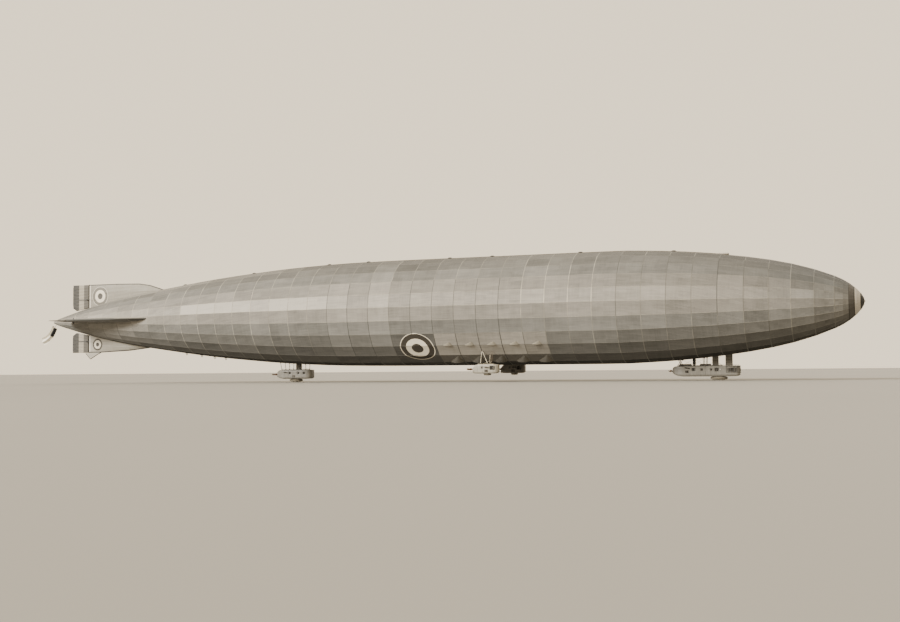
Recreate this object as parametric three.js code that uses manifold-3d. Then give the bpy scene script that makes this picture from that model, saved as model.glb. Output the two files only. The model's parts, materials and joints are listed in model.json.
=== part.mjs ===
// Rigid airship of about 1919, as a model at one tenth of full size. Millimetres, +Z up.
// The origin is on the hull's axis at half its length, and the bow points to +X.
import * as THREE from 'three';
import { mergeVertices } from 'three/addons/utils/BufferGeometryUtils.js';
import Module from 'manifold-3d';

const wasm = await Module();
wasm.setup();

// Driving sizes
const HULL_LENGTH = 19600;
const HULL_RADIUS = 1203;
const FACETS = 25;
const SHELL = 10;
const GAP = 0.3;
const FRAME_PITCH = 500;
const BOW_FRAMES = [560, 930, 1360, 1780];
const FIRST_REGULAR_FRAME = 2245;
const LAST_FRAME = 39;
const GROUND = -1560;
const CABIN_WALL = 6;
// Bevel along a car's long edges, as a share of its half width
const EDGE_BEVEL = 0.24;

// Outline of the hull: distance from the nose, radius to the corners of the polygon
const OUTLINE = [
  [0, 0], [60, 150], [150, 255], [400, 445], [800, 622], [1300, 783], [2000, 936], [3000, 1077],
  [4000, 1162], [5000, HULL_RADIUS], [9500, HULL_RADIUS], [11000, 1192], [12500, 1135], [14000, 1017],
  [15000, 913], [16000, 782], [17000, 636], [18000, 452], [18800, 262], [19300, 122], [19600, 0],
];

const COLOURS = {
  fabric: ['#aca391', 0.75, 0],
  darkFabric: ['#4b453b', 0.8, 0],
  wood: ['#6d5238', 0.5, 0],
  metal: ['#8d8a83', 0.45, 0.8],
  engine: ['#4a4a48', 0.6, 0.6],
  canvas: ['#7d7565', 0.9, 0],
};

const materials = {};
for (const [name, [color, roughness, metalness]] of Object.entries(COLOURS)) {
  materials[name] = new THREE.MeshStandardMaterial({ name, color, roughness, metalness });
}

const airship = new THREE.Group();
airship.name = 'airship';

// Small tools for solids

function geometryOf(positions, triangles) {
  const geometry = new THREE.BufferGeometry();
  geometry.setAttribute('position', new THREE.Float32BufferAttribute(positions, 3));
  geometry.setIndex(triangles);
  return geometry;
}

function solidOf(geometry) {
  const bare = geometry.clone();
  bare.deleteAttribute('normal');
  bare.deleteAttribute('uv');
  const merged = mergeVertices(bare, 1e-3);
  const vertProperties = new Float32Array(merged.attributes.position.array);
  const triVerts = new Uint32Array(merged.index.array);
  const solid = new wasm.Manifold(new wasm.Mesh({ numProp: 3, vertProperties, triVerts }));
  if (solid.volume() > 0) return solid;
  for (let i = 0; i < triVerts.length; i += 3) {
    [triVerts[i], triVerts[i + 1]] = [triVerts[i + 1], triVerts[i]];
  }
  return new wasm.Manifold(new wasm.Mesh({ numProp: 3, vertProperties, triVerts }));
}

function add(name, solid, material) {
  const { vertProperties, triVerts } = solid.getMesh();
  const geometry = geometryOf(Array.from(vertProperties), Array.from(triVerts));
  geometry.computeVertexNormals();
  const mesh = new THREE.Mesh(geometry, materials[material]);
  mesh.name = name;
  airship.add(mesh);
}

function join(...solids) {
  return solids.reduce((whole, solid) => whole.add(solid));
}

// A closed solid through rings of points, all with the same number of points
function loft(rings) {
  const count = rings[0].length;
  const positions = rings.flat(2);
  const triangles = [];
  for (let ring = 0; ring + 1 < rings.length; ring += 1) {
    for (let i = 0; i < count; i += 1) {
      const a = ring * count + i;
      const b = ring * count + (i + 1) % count;
      triangles.push(a, b, a + count, b, b + count, a + count);
    }
  }
  const last = (rings.length - 1) * count;
  for (let i = 1; i + 1 < count; i += 1) {
    triangles.push(0, i + 1, i, last, last + i, last + i + 1);
  }
  return solidOf(geometryOf(positions, triangles));
}

function box(x0, x1, y0, y1, z0, z1) {
  const geometry = new THREE.BoxGeometry(Math.abs(x1 - x0), Math.abs(y1 - y0), Math.abs(z1 - z0));
  geometry.translate((x0 + x1) / 2, (y0 + y1) / 2, (z0 + z1) / 2);
  return solidOf(geometry);
}

// A round or square bar between two points
function bar(from, to, radius, sides = 8) {
  const start = new THREE.Vector3(...from);
  const end = new THREE.Vector3(...to);
  const way = end.clone().sub(start);
  const geometry = new THREE.CylinderGeometry(radius, radius, way.length(), sides);
  geometry.applyQuaternion(new THREE.Quaternion().setFromUnitVectors(new THREE.Vector3(0, 1, 0), way.normalize()));
  geometry.translate((from[0] + to[0]) / 2, (from[1] + to[1]) / 2, (from[2] + to[2]) / 2);
  return solidOf(geometry);
}

// Hull

const xAt = (distance) => HULL_LENGTH / 2 - distance;

// Smooth radius between the rows of the outline: a monotone cubic through the radius squared
const slopes = OUTLINE.map(() => 0);
for (let i = 1; i + 1 < OUTLINE.length; i += 1) {
  const [before, here, after] = [OUTLINE[i - 1], OUTLINE[i], OUTLINE[i + 1]];
  const left = (here[1] ** 2 - before[1] ** 2) / (here[0] - before[0]);
  const right = (after[1] ** 2 - here[1] ** 2) / (after[0] - here[0]);
  slopes[i] = left * right > 0 ? (2 * left * right) / (left + right) : 0;
}
slopes[0] = OUTLINE[1][1] ** 2 / OUTLINE[1][0];
slopes[OUTLINE.length - 1] = slopes[OUTLINE.length - 2] / 2;

function radiusAt(distance) {
  const last = OUTLINE.length - 2;
  const i = Math.min(last, OUTLINE.findLastIndex((row) => row[0] <= distance));
  const [[d0, r0], [d1, r1]] = [OUTLINE[i], OUTLINE[i + 1]];
  const span = d1 - d0;
  const t = (distance - d0) / span;
  const squared = (2 * t ** 3 - 3 * t ** 2 + 1) * r0 ** 2 + (t ** 3 - 2 * t ** 2 + t) * span * slopes[i]
    + (3 * t ** 2 - 2 * t ** 3) * r1 ** 2 + (t ** 3 - t ** 2) * span * slopes[i + 1];
  return Math.sqrt(Math.max(squared, 0));
}

const frameAt = (number) => (number <= BOW_FRAMES.length
  ? BOW_FRAMES[number - 1]
  : FIRST_REGULAR_FRAME + FRAME_PITCH * (number - BOW_FRAMES.length - 1));

// Corner of the hull's polygon, counted from the top down the port side
function corner(distance, number, extra = 0) {
  const angle = (2 * Math.PI * number) / FACETS;
  const radius = radiusAt(distance) + extra;
  return [xAt(distance), radius * Math.sin(angle), radius * Math.cos(angle)];
}

function hullRing(distance, extra = 0) {
  return Array.from({ length: FACETS }, (_, i) => corner(distance, i, extra));
}

const CAP_END = 150;
const bowDistances = [CAP_END, 270, 400, ...BOW_FRAMES];

function distancesBetween(first, last) {
  const distances = [];
  for (let number = first; number <= last; number += 1) distances.push(frameAt(number));
  return distances;
}

// Outer and inner rings of a stretch of the envelope, cut back by half a gap at its joints
function envelope(distances) {
  const cut = distances.slice();
  cut[0] += GAP / 2;
  cut[cut.length - 1] -= GAP / 2;
  const ends = cut.slice();
  ends[0] -= 1;
  ends[ends.length - 1] += 1;
  return loft(cut.map((d) => hullRing(d))).subtract(loft(ends.map((d) => hullRing(d, -SHELL))));
}

const tailTip = HULL_LENGTH - 20;
const capRings = [12, 60, CAP_END];
const hullSolid = loft([
  ...[12, 60, ...bowDistances].map((d) => hullRing(d, GAP)),
  ...distancesBetween(BOW_FRAMES.length + 1, LAST_FRAME).map((d) => hullRing(d, GAP)),
  hullRing(tailTip, GAP),
]);

add('bow_cap', loft(capRings.map((d) => hullRing(d))).subtract(
  loft([...[50, 90, CAP_END + 1].map((d) => hullRing(d, -SHELL))])), 'darkFabric');

// Stretches of the envelope: name, first frame, last frame
const STRETCHES = [
  ['hull_bow', 0, 6],
  ['hull_fore', 6, 14],
  ['hull_middle', 14, 22],
  ['hull_aft', 22, 30],
  ['hull_tail', 30, 34],
  ['hull_stern', 34, LAST_FRAME],
];
for (const [name, first, last] of STRETCHES) {
  const distances = first === 0
    ? [...bowDistances, ...distancesBetween(BOW_FRAMES.length + 1, last)]
    : distancesBetween(first, last);
  add(name, envelope(distances), 'fabric');
}
add('tail_cone', loft([frameAt(LAST_FRAME) + GAP / 2, 19450, tailTip].map((d) => hullRing(d))), 'fabric');

// Fins and control surfaces, all drawn as the upper one and then turned about the hull's axis

const HINGE = 18500;
const FIN_REAR = HINGE - 20;
const SURFACE_FRONT = HINGE + 3;
const SURFACE_REAR = 19003;
const PIN_RADIUS = 6;
const LUG_REACH = 16;
const LUG_THICK = 10;
const SURFACE_TIP_GAP = 8;

// Height above the axis, distance of the leading edge from the nose, thickness
const HIGH_FIN = [
  [180, 16100, 130],
  [732, 16238, 120],
  [872, 16687, 74],
  [920, 17000, 50],
  [935, 17657, 26],
];
const LOW_FIN = [
  [180, 16100, 130],
  [660, 16420, 120],
  [700, 16760, 90],
  [752, 17281, 56],
  [786, 18122, 30],
];

function finSection([height, front, thickness]) {
  const chord = FIN_REAR - front;
  const rear = Math.min(thickness, 44);
  // Share of the chord, share of the thickness
  const half = [[0.06, 0.5], [0.3, 1], [0.7, 0.85]];
  const row = (share, wide) => [xAt(front + share * chord), wide / 2, height];
  const left = half.map(([share, part]) => row(share, part * thickness));
  left.push(row(1, rear));
  const right = left.map(([x, y, z]) => [x, -y, z]).reverse();
  return [[xAt(front), 0, height], ...left, ...right];
}

// Hinge lug on the fin's rear edge, with the hole for the pin
function lug(height) {
  const block = box(xAt(FIN_REAR - 10), xAt(HINGE + LUG_REACH), -14, 14, height, height + LUG_THICK);
  return block;
}

function pinHole(bottom, top) {
  return bar([xAt(HINGE), 0, bottom], [xAt(HINGE), 0, top], PIN_RADIUS + GAP, 12);
}

function turned(solid, degrees) {
  return solid.rotate([degrees, 0, 0]);
}

function makeFin(name, rows, tip, degrees, extras = []) {
  const innerLug = radiusAt(HINGE) + 4;
  const lugs = [innerLug, tip - LUG_THICK];
  const plate = join(loft(rows.map(finSection)), ...lugs.map(lug), ...extras);
  const bored = plate.subtract(pinHole(innerLug - 30, tip + 30));
  add(name, turned(bored, degrees).subtract(hullSolid), 'fabric');
}

function makeSurface(name, tip, degrees) {
  const innerLug = radiusAt(HINGE) + 4;
  const bottom = innerLug + LUG_THICK + SURFACE_TIP_GAP;
  const top = tip - LUG_THICK - SURFACE_TIP_GAP;
  const slope = radiusAt(HINGE) - radiusAt(18886);
  // Side outline: distance from the nose, height
  const outline = [
    [SURFACE_FRONT, bottom], [18886, bottom - slope], [SURFACE_REAR, bottom - slope + 78], [SURFACE_REAR, top],
    [SURFACE_FRONT, top],
  ];
  const halfThickness = (distance) => 20 - (14 * (distance - SURFACE_FRONT)) / (SURFACE_REAR - SURFACE_FRONT);
  const left = outline.map(([d, z]) => [xAt(d), halfThickness(d), z]);
  const right = outline.map(([d, z]) => [xAt(d), -halfThickness(d), z]);
  const pin = bar([xAt(HINGE), 0, innerLug + 1], [xAt(HINGE), 0, tip - 1], PIN_RADIUS, 12);
  add(name, turned(join(loft([left, right]), pin), degrees), 'fabric');
}

const HIGH_TIP = 935;
const LOW_TIP = 786;
// Side outline of the small skid under the lower fin: distance from the nose, height
const SKID = [[18122, 770], [18450, 944], [18600, 800], [18600, 793], [18470, 793], [18470, 770]];
const skid = loft([9, -9].map((y) => SKID.map(([d, z]) => [xAt(d), y, z])));

makeFin('fin_upper', HIGH_FIN, HIGH_TIP, 0);
makeFin('fin_port', HIGH_FIN, HIGH_TIP, -90);
makeFin('fin_starboard', HIGH_FIN, HIGH_TIP, 90);
makeFin('fin_lower', LOW_FIN, LOW_TIP, 180, [skid]);
makeSurface('rudder_upper', HIGH_TIP, 0);
makeSurface('elevator_port', HIGH_TIP, -90);
makeSurface('elevator_starboard', HIGH_TIP, 90);
makeSurface('rudder_lower', LOW_TIP, 180);

// Cars

// Cross-section of a car: an octagon at a distance from the nose
function carRing([distance, half, top, bottom], side, inset = 0) {
  const edge = Math.min(half, top - bottom) * EDGE_BEVEL;
  const h = half - inset;
  const t = top - inset;
  const b = bottom + inset;
  const yz = [
    [h - edge, t], [h, t - edge], [h, b + edge], [h - edge, b], [-(h - edge), b], [-h, b + edge],
    [-h, t - edge], [-(h - edge), t],
  ];
  return yz.map(([y, z]) => [xAt(distance), side + y, z]);
}

// Sections of a car's inside, where the end walls stand in by the thickness of a wall
function insideRows(sections) {
  const last = sections.length - 1;
  return sections.map(([distance, ...sizes], i) => {
    const shift = i === 0 ? CABIN_WALL : (i === last ? -CABIN_WALL : 0);
    return [distance + shift, ...sizes];
  });
}

// Space between the side panels of a car, which runs on past both ends
function betweenSides({ side, sections }, panel) {
  const rows = insideRows(sections);
  const [first, last] = [rows[0], rows[rows.length - 1]];
  const longer = [[first[0] - 100, first[1]], ...rows, [last[0] + 100, last[1]]];
  return loft(longer.map(([distance, half]) => {
    const y = half - panel;
    return [[y, -1000], [y, -2000], [-y, -2000], [-y, -1000]].map(([across, z]) => [xAt(distance), side + across, z]);
  }));
}

// Hollow car from a table of sections: floor with the end walls, two sides with their windows, and roof
function makeCar(car) {
  const { name, side, sections, seam, windows, shaft } = car;
  const inner = insideRows(sections).map((row) => carRing(row, side, CABIN_WALL));
  const outside = loft(sections.map((row) => carRing(row, side)));
  let shell = outside.subtract(loft(inner));
  if (shaft) {
    const rear = sections[sections.length - 1][0];
    shell = shell.add(bar([xAt(rear - CABIN_WALL), side, shaft], [xAt(rear + BOSS_LENGTH), side, shaft], BOSS_RADIUS, 16));
    shell = shell.subtract(
      bar([xAt(rear - 60), side, shaft], [xAt(rear + 80), side, shaft], SHAFT_RADIUS + GAP, 12));
  }
  for (const [d0, d1, z0, z1] of windows) {
    shell = shell.subtract(box(xAt(d0), xAt(d1), side - 400, side + 400, z0, z1));
  }
  if (car.windscreen) {
    const [half, z0, z1] = car.windscreen;
    const front = sections[0][0];
    shell = shell.subtract(box(xAt(front - 20), xAt(front + 20), side - half, side + half, z0, z1));
  }
  const [near, far] = [xAt(sections[0][0] - 100), xAt(sections[sections.length - 1][0] + 100)];
  const below = box(near, far, side - 400, side + 400, -2000, seam - GAP / 2);
  const above = box(near, far, side - 400, side + 400, seam + GAP / 2, -1000);
  const body = shell.intersect(below);
  const panels = body.subtract(betweenSides(car, CABIN_WALL + 1));
  const [farSide, nearSide] = [box(near, far, side, side + 400, -2000, 0), box(near, far, side - 400, side, -2000, 0)];
  add(`${name}_floor`, body.intersect(betweenSides(car, CABIN_WALL + 1 + GAP)), 'fabric');
  add(`${name}_side_port`, panels.intersect(farSide), 'fabric');
  add(`${name}_side_starboard`, panels.intersect(nearSide), 'fabric');
  let roof = shell.intersect(above);
  for (const cover of car.covers ?? []) roof = roof.add(roofCover(cover));
  add(`${name}_roof`, roof, 'canvas');
}

// Raised cover on a roof: distances of its ends, roof, length of the slope at its front and at its rear
function roofCover([front, rear, roof, frontRun, rearRun]) {
  const foot = roof - CABIN_WALL / 2;
  const top = roof + COVER_HEIGHT;
  const outline = [[front, foot], [rear, foot], [rear - rearRun, top], [front + frontRun, top]];
  return loft([COVER_HALF, -COVER_HALF].map((y) => outline.map(([d, z]) => [xAt(d), y, z])));
}

const COVER_HALF = 66;
const COVER_HEIGHT = 24;
const BOSS_LENGTH = 24;
const BOSS_RADIUS = 24;
const SHAFT_RADIUS = 8;
const PROPELLER_GAP = 14;

// One blade: distance from the hub's centre as a share of the radius, chord, thickness, twist in degrees
const BLADE = [
  [0.04, 34, 22, 60],
  [0.2, 40, 16, 52],
  [0.45, 46, 11, 34],
  [0.75, 42, 7, 22],
  [0.95, 30, 4, 17],
  [1, 16, 3, 16],
];

function makePropeller(name, rear, side, shaft, radius) {
  const centre = rear + BOSS_LENGTH + PROPELLER_GAP + 18;
  const rings = BLADE.map(([share, chord, thickness, twist]) => {
    const angle = THREE.MathUtils.degToRad(twist);
    const profile = [[-0.5, 0], [-0.2, 0.5], [0.2, 0.4], [0.5, 0], [0.2, -0.4], [-0.2, -0.5]];
    return profile.map(([c, t]) => {
      const along = c * chord;
      const across = t * thickness;
      return [
        along * Math.sin(angle) + across * Math.cos(angle),
        share * radius,
        along * Math.cos(angle) - across * Math.sin(angle),
      ];
    });
  });
  const blade = loft(rings);
  const hub = bar([-20, 0, 0], [20, 0, 0], 22, 16);
  const shaftBar = bar([0, 0, 0], [BOSS_LENGTH + PROPELLER_GAP + 50, 0, 0], SHAFT_RADIUS, 12);
  const whole = join(hub, shaftBar, blade, blade.rotate([180, 0, 0]));
  add(name, whole.translate([xAt(centre), side, shaft]), 'wood');
}

// Distance of front end, length, side, bottom, width, height of the plain engine block
function makeEngine(name, front, side, floor) {
  const [length, width, height] = [190, 84, 104];
  add(name, box(xAt(front), xAt(front + length), side - width / 2, side + width / 2, floor + GAP, floor + GAP + height),
    'engine');
}

// Struts of a car, joined by the rail that lies on its roof
function makeStruts(name, rails, legs) {
  const parts = rails.map(([d0, d1, y, z]) => box(xAt(d0), xAt(d1), y - 5, y + 5, z + GAP, z + GAP + 10));
  for (const [from, to, radius] of legs) parts.push(bar(from, to, radius));
  const roof = rails[0][3];
  const below = box(-HULL_LENGTH, HULL_LENGTH, -HULL_RADIUS, HULL_RADIUS, GROUND, roof + GAP);
  add(name, join(...parts).subtract(hullSolid).subtract(below), 'metal');
}

// Forward car on the centreline: control cabin in front, engine room behind it
const CABIN_TOP = -1250;
const CABIN_BOTTOM = -1470;
const CABIN_FLOOR = CABIN_BOTTOM + CABIN_WALL;
const FORWARD_SHAFT = -1352;
// Distance from the nose, half width, top, bottom
const controlCabin = {
  name: 'control_cabin',
  side: 0,
  seam: CABIN_TOP - 40,
  sections: [
    [2434, 70, CABIN_TOP, CABIN_BOTTOM + 30],
    [2480, 112, CABIN_TOP, CABIN_BOTTOM + 8],
    [2640, 125, CABIN_TOP, CABIN_BOTTOM],
    [3118, 125, CABIN_TOP, CABIN_BOTTOM],
  ],
  windows: [
    [2500, 2545, -1372, -1300], [2560, 2605, -1372, -1300], [2620, 2665, -1372, -1300],
    [2860, 2925, -1360, -1300], [2990, 3020, -1345, -1315],
  ],
  // Half width, lower edge, upper edge
  windscreen: [44, -1372, -1300],
  covers: [[3010, 3118, CABIN_TOP, 14, 0]],
};
const engineRoom = {
  name: 'engine_room',
  side: 0,
  seam: CABIN_TOP - 40,
  sections: [
    [3122, 125, CABIN_TOP, CABIN_BOTTOM],
    [3560, 125, CABIN_TOP, CABIN_BOTTOM],
    [3740, 90, CABIN_TOP - 10, CABIN_BOTTOM + 30],
    [3800, 44, CABIN_TOP - 40, CABIN_BOTTOM + 70],
  ],
  windows: [[3180, 3215, -1345, -1310], [3330, 3390, -1350, -1300]],
  covers: [[3122, 3250, CABIN_TOP, 0, 14], [3404, 3670, CABIN_TOP, 26, 26]],
  shaft: FORWARD_SHAFT,
};
makeCar(controlCabin);
makeCar(engineRoom);
makeEngine('engine_forward', 3290, 0, CABIN_FLOOR);
makePropeller('propeller_forward', 3800, 0, FORWARD_SHAFT, 200);

// Wing cars, one each side amidships
const WING_SIDE = 970;
const WING_TOP = -1186;
const WING_BOTTOM = -1376;
const WING_SHAFT = -1285;
function wingCar(label, hand) {
  return {
    name: `wing_car_${label}`,
    side: hand * WING_SIDE,
    seam: WING_TOP - 30,
    sections: [
      [7306, 50, WING_TOP, WING_BOTTOM + 26],
      [7350, 84, WING_TOP, WING_BOTTOM + 6],
      [7440, 95, WING_TOP, WING_BOTTOM],
      [7700, 92, WING_TOP, WING_BOTTOM],
      [7800, 66, WING_TOP - 4, WING_BOTTOM + 4],
      [7876, 36, WING_TOP - 44, WING_BOTTOM + 30],
    ],
    windows: [[7380, 7470, -1292, -1222], [7635, 7665, -1265, -1235]],
    shaft: WING_SHAFT,
  };
}
const WING_CARS = [['starboard', -1], ['port', 1]];
for (const [label, hand] of WING_CARS) {
  const side = hand * WING_SIDE;
  makeCar(wingCar(label, hand));
  makeEngine(`engine_${label}`, 7500, side, WING_BOTTOM + CABIN_WALL);
  makePropeller(`propeller_${label}`, 7876, side, WING_SHAFT, 250);
}

// Aft car on the centreline, with two engines that drive one large propeller
const AFT_TOP = -1262;
const AFT_BOTTOM = -1472;
const AFT_SHAFT = -1367;
makeCar({
  name: 'aft_car',
  side: 0,
  seam: AFT_TOP - 44,
  sections: [
    [12180, 60, AFT_TOP, AFT_BOTTOM + 30],
    [12240, 120, AFT_TOP, AFT_BOTTOM + 6],
    [12360, 140, AFT_TOP, AFT_BOTTOM],
    [12860, 140, AFT_TOP, AFT_BOTTOM],
    [13020, 100, AFT_TOP - 8, AFT_BOTTOM + 20],
    [13100, 46, AFT_TOP - 44, AFT_BOTTOM + 50],
  ],
  windows: [[12330, 12375, -1358, -1314], [12480, 12525, -1358, -1314], [12700, 12745, -1358, -1314]],
  shaft: AFT_SHAFT,
});
makeEngine('engine_aft_port', 12560, 52, AFT_BOTTOM + CABIN_WALL);
makeEngine('engine_aft_starboard', 12560, -52, AFT_BOTTOM + CABIN_WALL);
makePropeller('propeller_aft', 13100, 0, AFT_SHAFT, 188);

// Struts between the hull and the cars
const STRUT_DEPTH = 30;
const keel = (distance, y) => [xAt(distance), y, -radiusAt(distance) + STRUT_DEPTH];
function pairedLegs(rows, roof, half) {
  return rows.flatMap(([foot, head, radius]) => [-1, 1].map((hand) => [
    [xAt(foot), hand * half, roof + 5], keel(head, hand * half * 1.2), radius]));
}
function railsOn(d0, d1, roof, half) {
  return [[d0, d1, half, roof], [d0, d1, -half, roof]];
}
function crossRail(distance, roof, half) {
  return [[xAt(distance), -half, roof + GAP + 5], [xAt(distance), half, roof + GAP + 5], 5];
}
const FORWARD_HALF = 84;
makeStruts('struts_forward', railsOn(2800, 3700, CABIN_TOP, FORWARD_HALF), [
  ...pairedLegs([[3102, 3102, 6], [3164, 3164, 6], [3361, 3361, 10], [3600, 3690, 5], [3690, 3600, 5]],
    CABIN_TOP, FORWARD_HALF),
  crossRail(2830, CABIN_TOP, FORWARD_HALF),
  crossRail(3690, CABIN_TOP, FORWARD_HALF),
]);
const AFT_HALF = 96;
makeStruts('struts_aft', railsOn(12300, 12960, AFT_TOP, AFT_HALF), [
  ...pairedLegs([[12320, 12320, 6], [12744, 12744, 6], [12950, 12980, 6]], AFT_TOP, AFT_HALF),
  crossRail(12310, AFT_TOP, AFT_HALF),
  crossRail(12940, AFT_TOP, AFT_HALF),
]);
const WING_HALF = 60;
for (const [label, hand] of WING_CARS) {
  const side = hand * WING_SIDE;
  const port = hand > 0;
  const outer = side + hand * WING_HALF;
  const inner = side - hand * WING_HALF;
  const node = (distance, number) => corner(distance, port ? number : FACETS - number, -STRUT_DEPTH);
  const frame = frameAt(16);
  const foot = (distance, y) => [xAt(distance), y, WING_TOP + 5];
  makeStruts(`struts_${label}`, [[7400, 7760, outer, WING_TOP], [7400, 7760, inner, WING_TOP]], [
    [foot(7700, outer), node(frame, 9.65), 6],
    [foot(7530, outer), node(frame, 9.65), 6],
    [foot(7700, inner), node(7640, 11), 6],
    [foot(7530, inner), node(7640, 11), 6],
    [foot(7530, inner), node(7590, 10), 5],
    [[xAt(7740), inner, WING_TOP + 6], [xAt(7740), outer, WING_TOP + 6], 5],
    [[xAt(7410), inner, WING_TOP + 6], [xAt(7410), outer, WING_TOP + 6], 5],
  ]);
}

// Covered ladder trunks between the cars' roofs and the keel
// Name, distance of the front face, of the rear face, half width, roof
const TRUNKS = [
  ['trunk_fore', 2589, 2719, 56, CABIN_TOP],
  ['trunk_middle', 2872, 2985, 56, CABIN_TOP],
  ['trunk_aft', 12500, 12600, 50, AFT_TOP],
];
for (const [name, front, rear, half, roof] of TRUNKS) {
  const top = -radiusAt((front + rear) / 2) + 40;
  const trunk = box(xAt(front), xAt(rear), -half, half, roof + GAP, top);
  add(name, trunk.subtract(hullSolid), 'canvas');
}

// Air bags under the cars, which take the bump of a landing
// Name, distance of the centre, side, bottom of the car, half length, half width, depth
const BAGS = [
  ['bag_forward', 2860, 0, CABIN_BOTTOM, 190, 110, 72],
  ['bag_aft', 12620, 0, AFT_BOTTOM, 180, 110, 70],
  ['bag_starboard', 7560, -WING_SIDE, WING_BOTTOM, 90, 60, 40],
  ['bag_port', 7560, WING_SIDE, WING_BOTTOM, 90, 60, 40],
];
for (const [name, distance, side, bottom, halfLength, halfWidth, depth] of BAGS) {
  // Depth as a share of the bag's depth, size as a share of its half width
  const levels = [[0, 0.82], [0.2, 0.97], [0.45, 1], [0.7, 0.92], [0.9, 0.7], [1, 0.45]];
  const rings = levels.map(([down, wide]) => Array.from({ length: 16 }, (_, i) => {
    const angle = (2 * Math.PI * i) / 16;
    return [xAt(distance) + wide * halfLength * Math.cos(angle), side + wide * halfWidth * Math.sin(angle),
      bottom - GAP - down * depth];
  }));
  add(name, loft(rings), 'canvas');
}

// Ridge walkway along the top, with the hoods of the gas valves and the look-out platform
// Each length: name, first and last frame, distances of its hoods
const WALKWAYS = [
  ['ridge_walkway_fore', 5, 19, [3745, 5745, 7745, 8745]],
  ['ridge_walkway_aft', 19, 32, [10745, 11745, 13745, 15660]],
];
const WALK_HALF = 30;
const WALK_HEIGHT = 8;
function walkRing(distance) {
  const top = radiusAt(distance) + GAP;
  const low = top - WALK_HALF * Math.tan(Math.PI / FACETS) - 6;
  return [[WALK_HALF, low], [WALK_HALF, top + 3], [WALK_HALF * 0.6, top + WALK_HEIGHT],
    [-WALK_HALF * 0.6, top + WALK_HEIGHT], [-WALK_HALF, top + 3], [-WALK_HALF, low]]
    .map(([y, z]) => [xAt(distance), y, z]);
}
function hood(distance) {
  const z = radiusAt(distance);
  return loft([[distance - 60, 20, 8], [distance, 34, 30], [distance + 60, 20, 8]].map(([place, half, height]) => (
    [[half, z - 8], [half * 0.6, z + height], [-half * 0.6, z + height], [-half, z - 8]]
      .map(([y, level]) => [xAt(place), y, level]))));
}
const platform = box(xAt(2620), xAt(2800), -70, 70, radiusAt(2700) - 14, radiusAt(2700) + 26);
for (const [name, first, last, hoods] of WALKWAYS) {
  const distances = distancesBetween(first, last);
  distances[0] += GAP / 2;
  distances[distances.length - 1] -= GAP / 2;
  const parts = [loft(distances.map(walkRing)), ...hoods.map(hood)];
  if (first === 5) parts.push(platform);
  add(name, join(...parts).subtract(hullSolid), 'canvas');
}

export default airship;
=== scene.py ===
"""Looks of the rigid airship model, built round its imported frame. Metres, +Z up, bow to +X."""
import json
import random
from math import atan2, ceil, cos, hypot, pi, radians, sin, sqrt, tan

import bmesh
import bpy
import numpy as np
from mathutils import Matrix, Vector

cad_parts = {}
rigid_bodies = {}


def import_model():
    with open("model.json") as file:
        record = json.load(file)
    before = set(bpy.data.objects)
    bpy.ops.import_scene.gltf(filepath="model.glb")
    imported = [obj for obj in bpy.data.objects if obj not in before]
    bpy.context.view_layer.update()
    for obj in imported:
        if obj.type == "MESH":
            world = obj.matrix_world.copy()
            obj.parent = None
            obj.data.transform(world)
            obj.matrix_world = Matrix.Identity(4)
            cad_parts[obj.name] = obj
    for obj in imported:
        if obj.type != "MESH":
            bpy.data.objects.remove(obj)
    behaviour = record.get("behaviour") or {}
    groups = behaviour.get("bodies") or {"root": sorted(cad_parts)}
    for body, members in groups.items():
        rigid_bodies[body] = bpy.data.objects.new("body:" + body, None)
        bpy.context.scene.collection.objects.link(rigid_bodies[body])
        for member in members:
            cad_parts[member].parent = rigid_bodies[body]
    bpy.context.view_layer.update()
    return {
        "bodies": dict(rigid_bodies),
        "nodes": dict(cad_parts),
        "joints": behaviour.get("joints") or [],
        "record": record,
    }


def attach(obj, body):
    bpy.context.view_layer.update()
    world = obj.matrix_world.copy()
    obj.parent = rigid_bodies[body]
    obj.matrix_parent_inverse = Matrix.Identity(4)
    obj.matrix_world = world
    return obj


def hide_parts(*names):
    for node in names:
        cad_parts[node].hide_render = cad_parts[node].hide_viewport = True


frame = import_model()
NODES = frame["nodes"]
AIRFRAME = "airframe"

# Sizes shared with the solids, in metres
NOSE_X = 9.8
FACETS = 25
FACET_ANGLE = 2 * pi / FACETS
FLOOR_Z = -1.56
# Distances from the nose between which the frames lie
FIRST_FRAME = 0.5
LAST_FRAME = 19.3
# Width of a facet where the hull is widest
FACET_WIDTH = 0.300


def x_at(distance):
    """Place along the hull of a distance from the nose."""
    return NOSE_X - distance


def rows_of(node):
    """Corner points of a CAD node as an array."""
    mesh = NODES[node].data
    points = np.empty(len(mesh.vertices) * 3)
    mesh.vertices.foreach_get("co", points)
    return points.reshape(-1, 3)


def linked(name, data):
    """A new object of some data, linked to the scene."""
    thing = bpy.data.objects.new(name, data)
    bpy.context.scene.collection.objects.link(thing)
    return thing


# Colours and node helpers

def linear(hex_colour):
    """sRGB hex as linear red, green, blue and alpha."""
    parts = [int(hex_colour[i:i + 2], 16) / 255 for i in (1, 3, 5)]
    return [v / 12.92 if v <= 0.04045 else ((v + 0.055) / 1.055) ** 2.4 for v in parts] + [1.0]


def add(tree, kind, inputs=None, **settings):
    """One shader node with its settings, and for each input a value or a link."""
    made = tree.nodes.new("ShaderNode" + kind)
    for name, value in settings.items():
        setattr(made, name, value)
    for name, value in (inputs or {}).items():
        if isinstance(value, bpy.types.NodeSocket):
            tree.links.new(value, made.inputs[name])
        else:
            made.inputs[name].default_value = value
    return made


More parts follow.
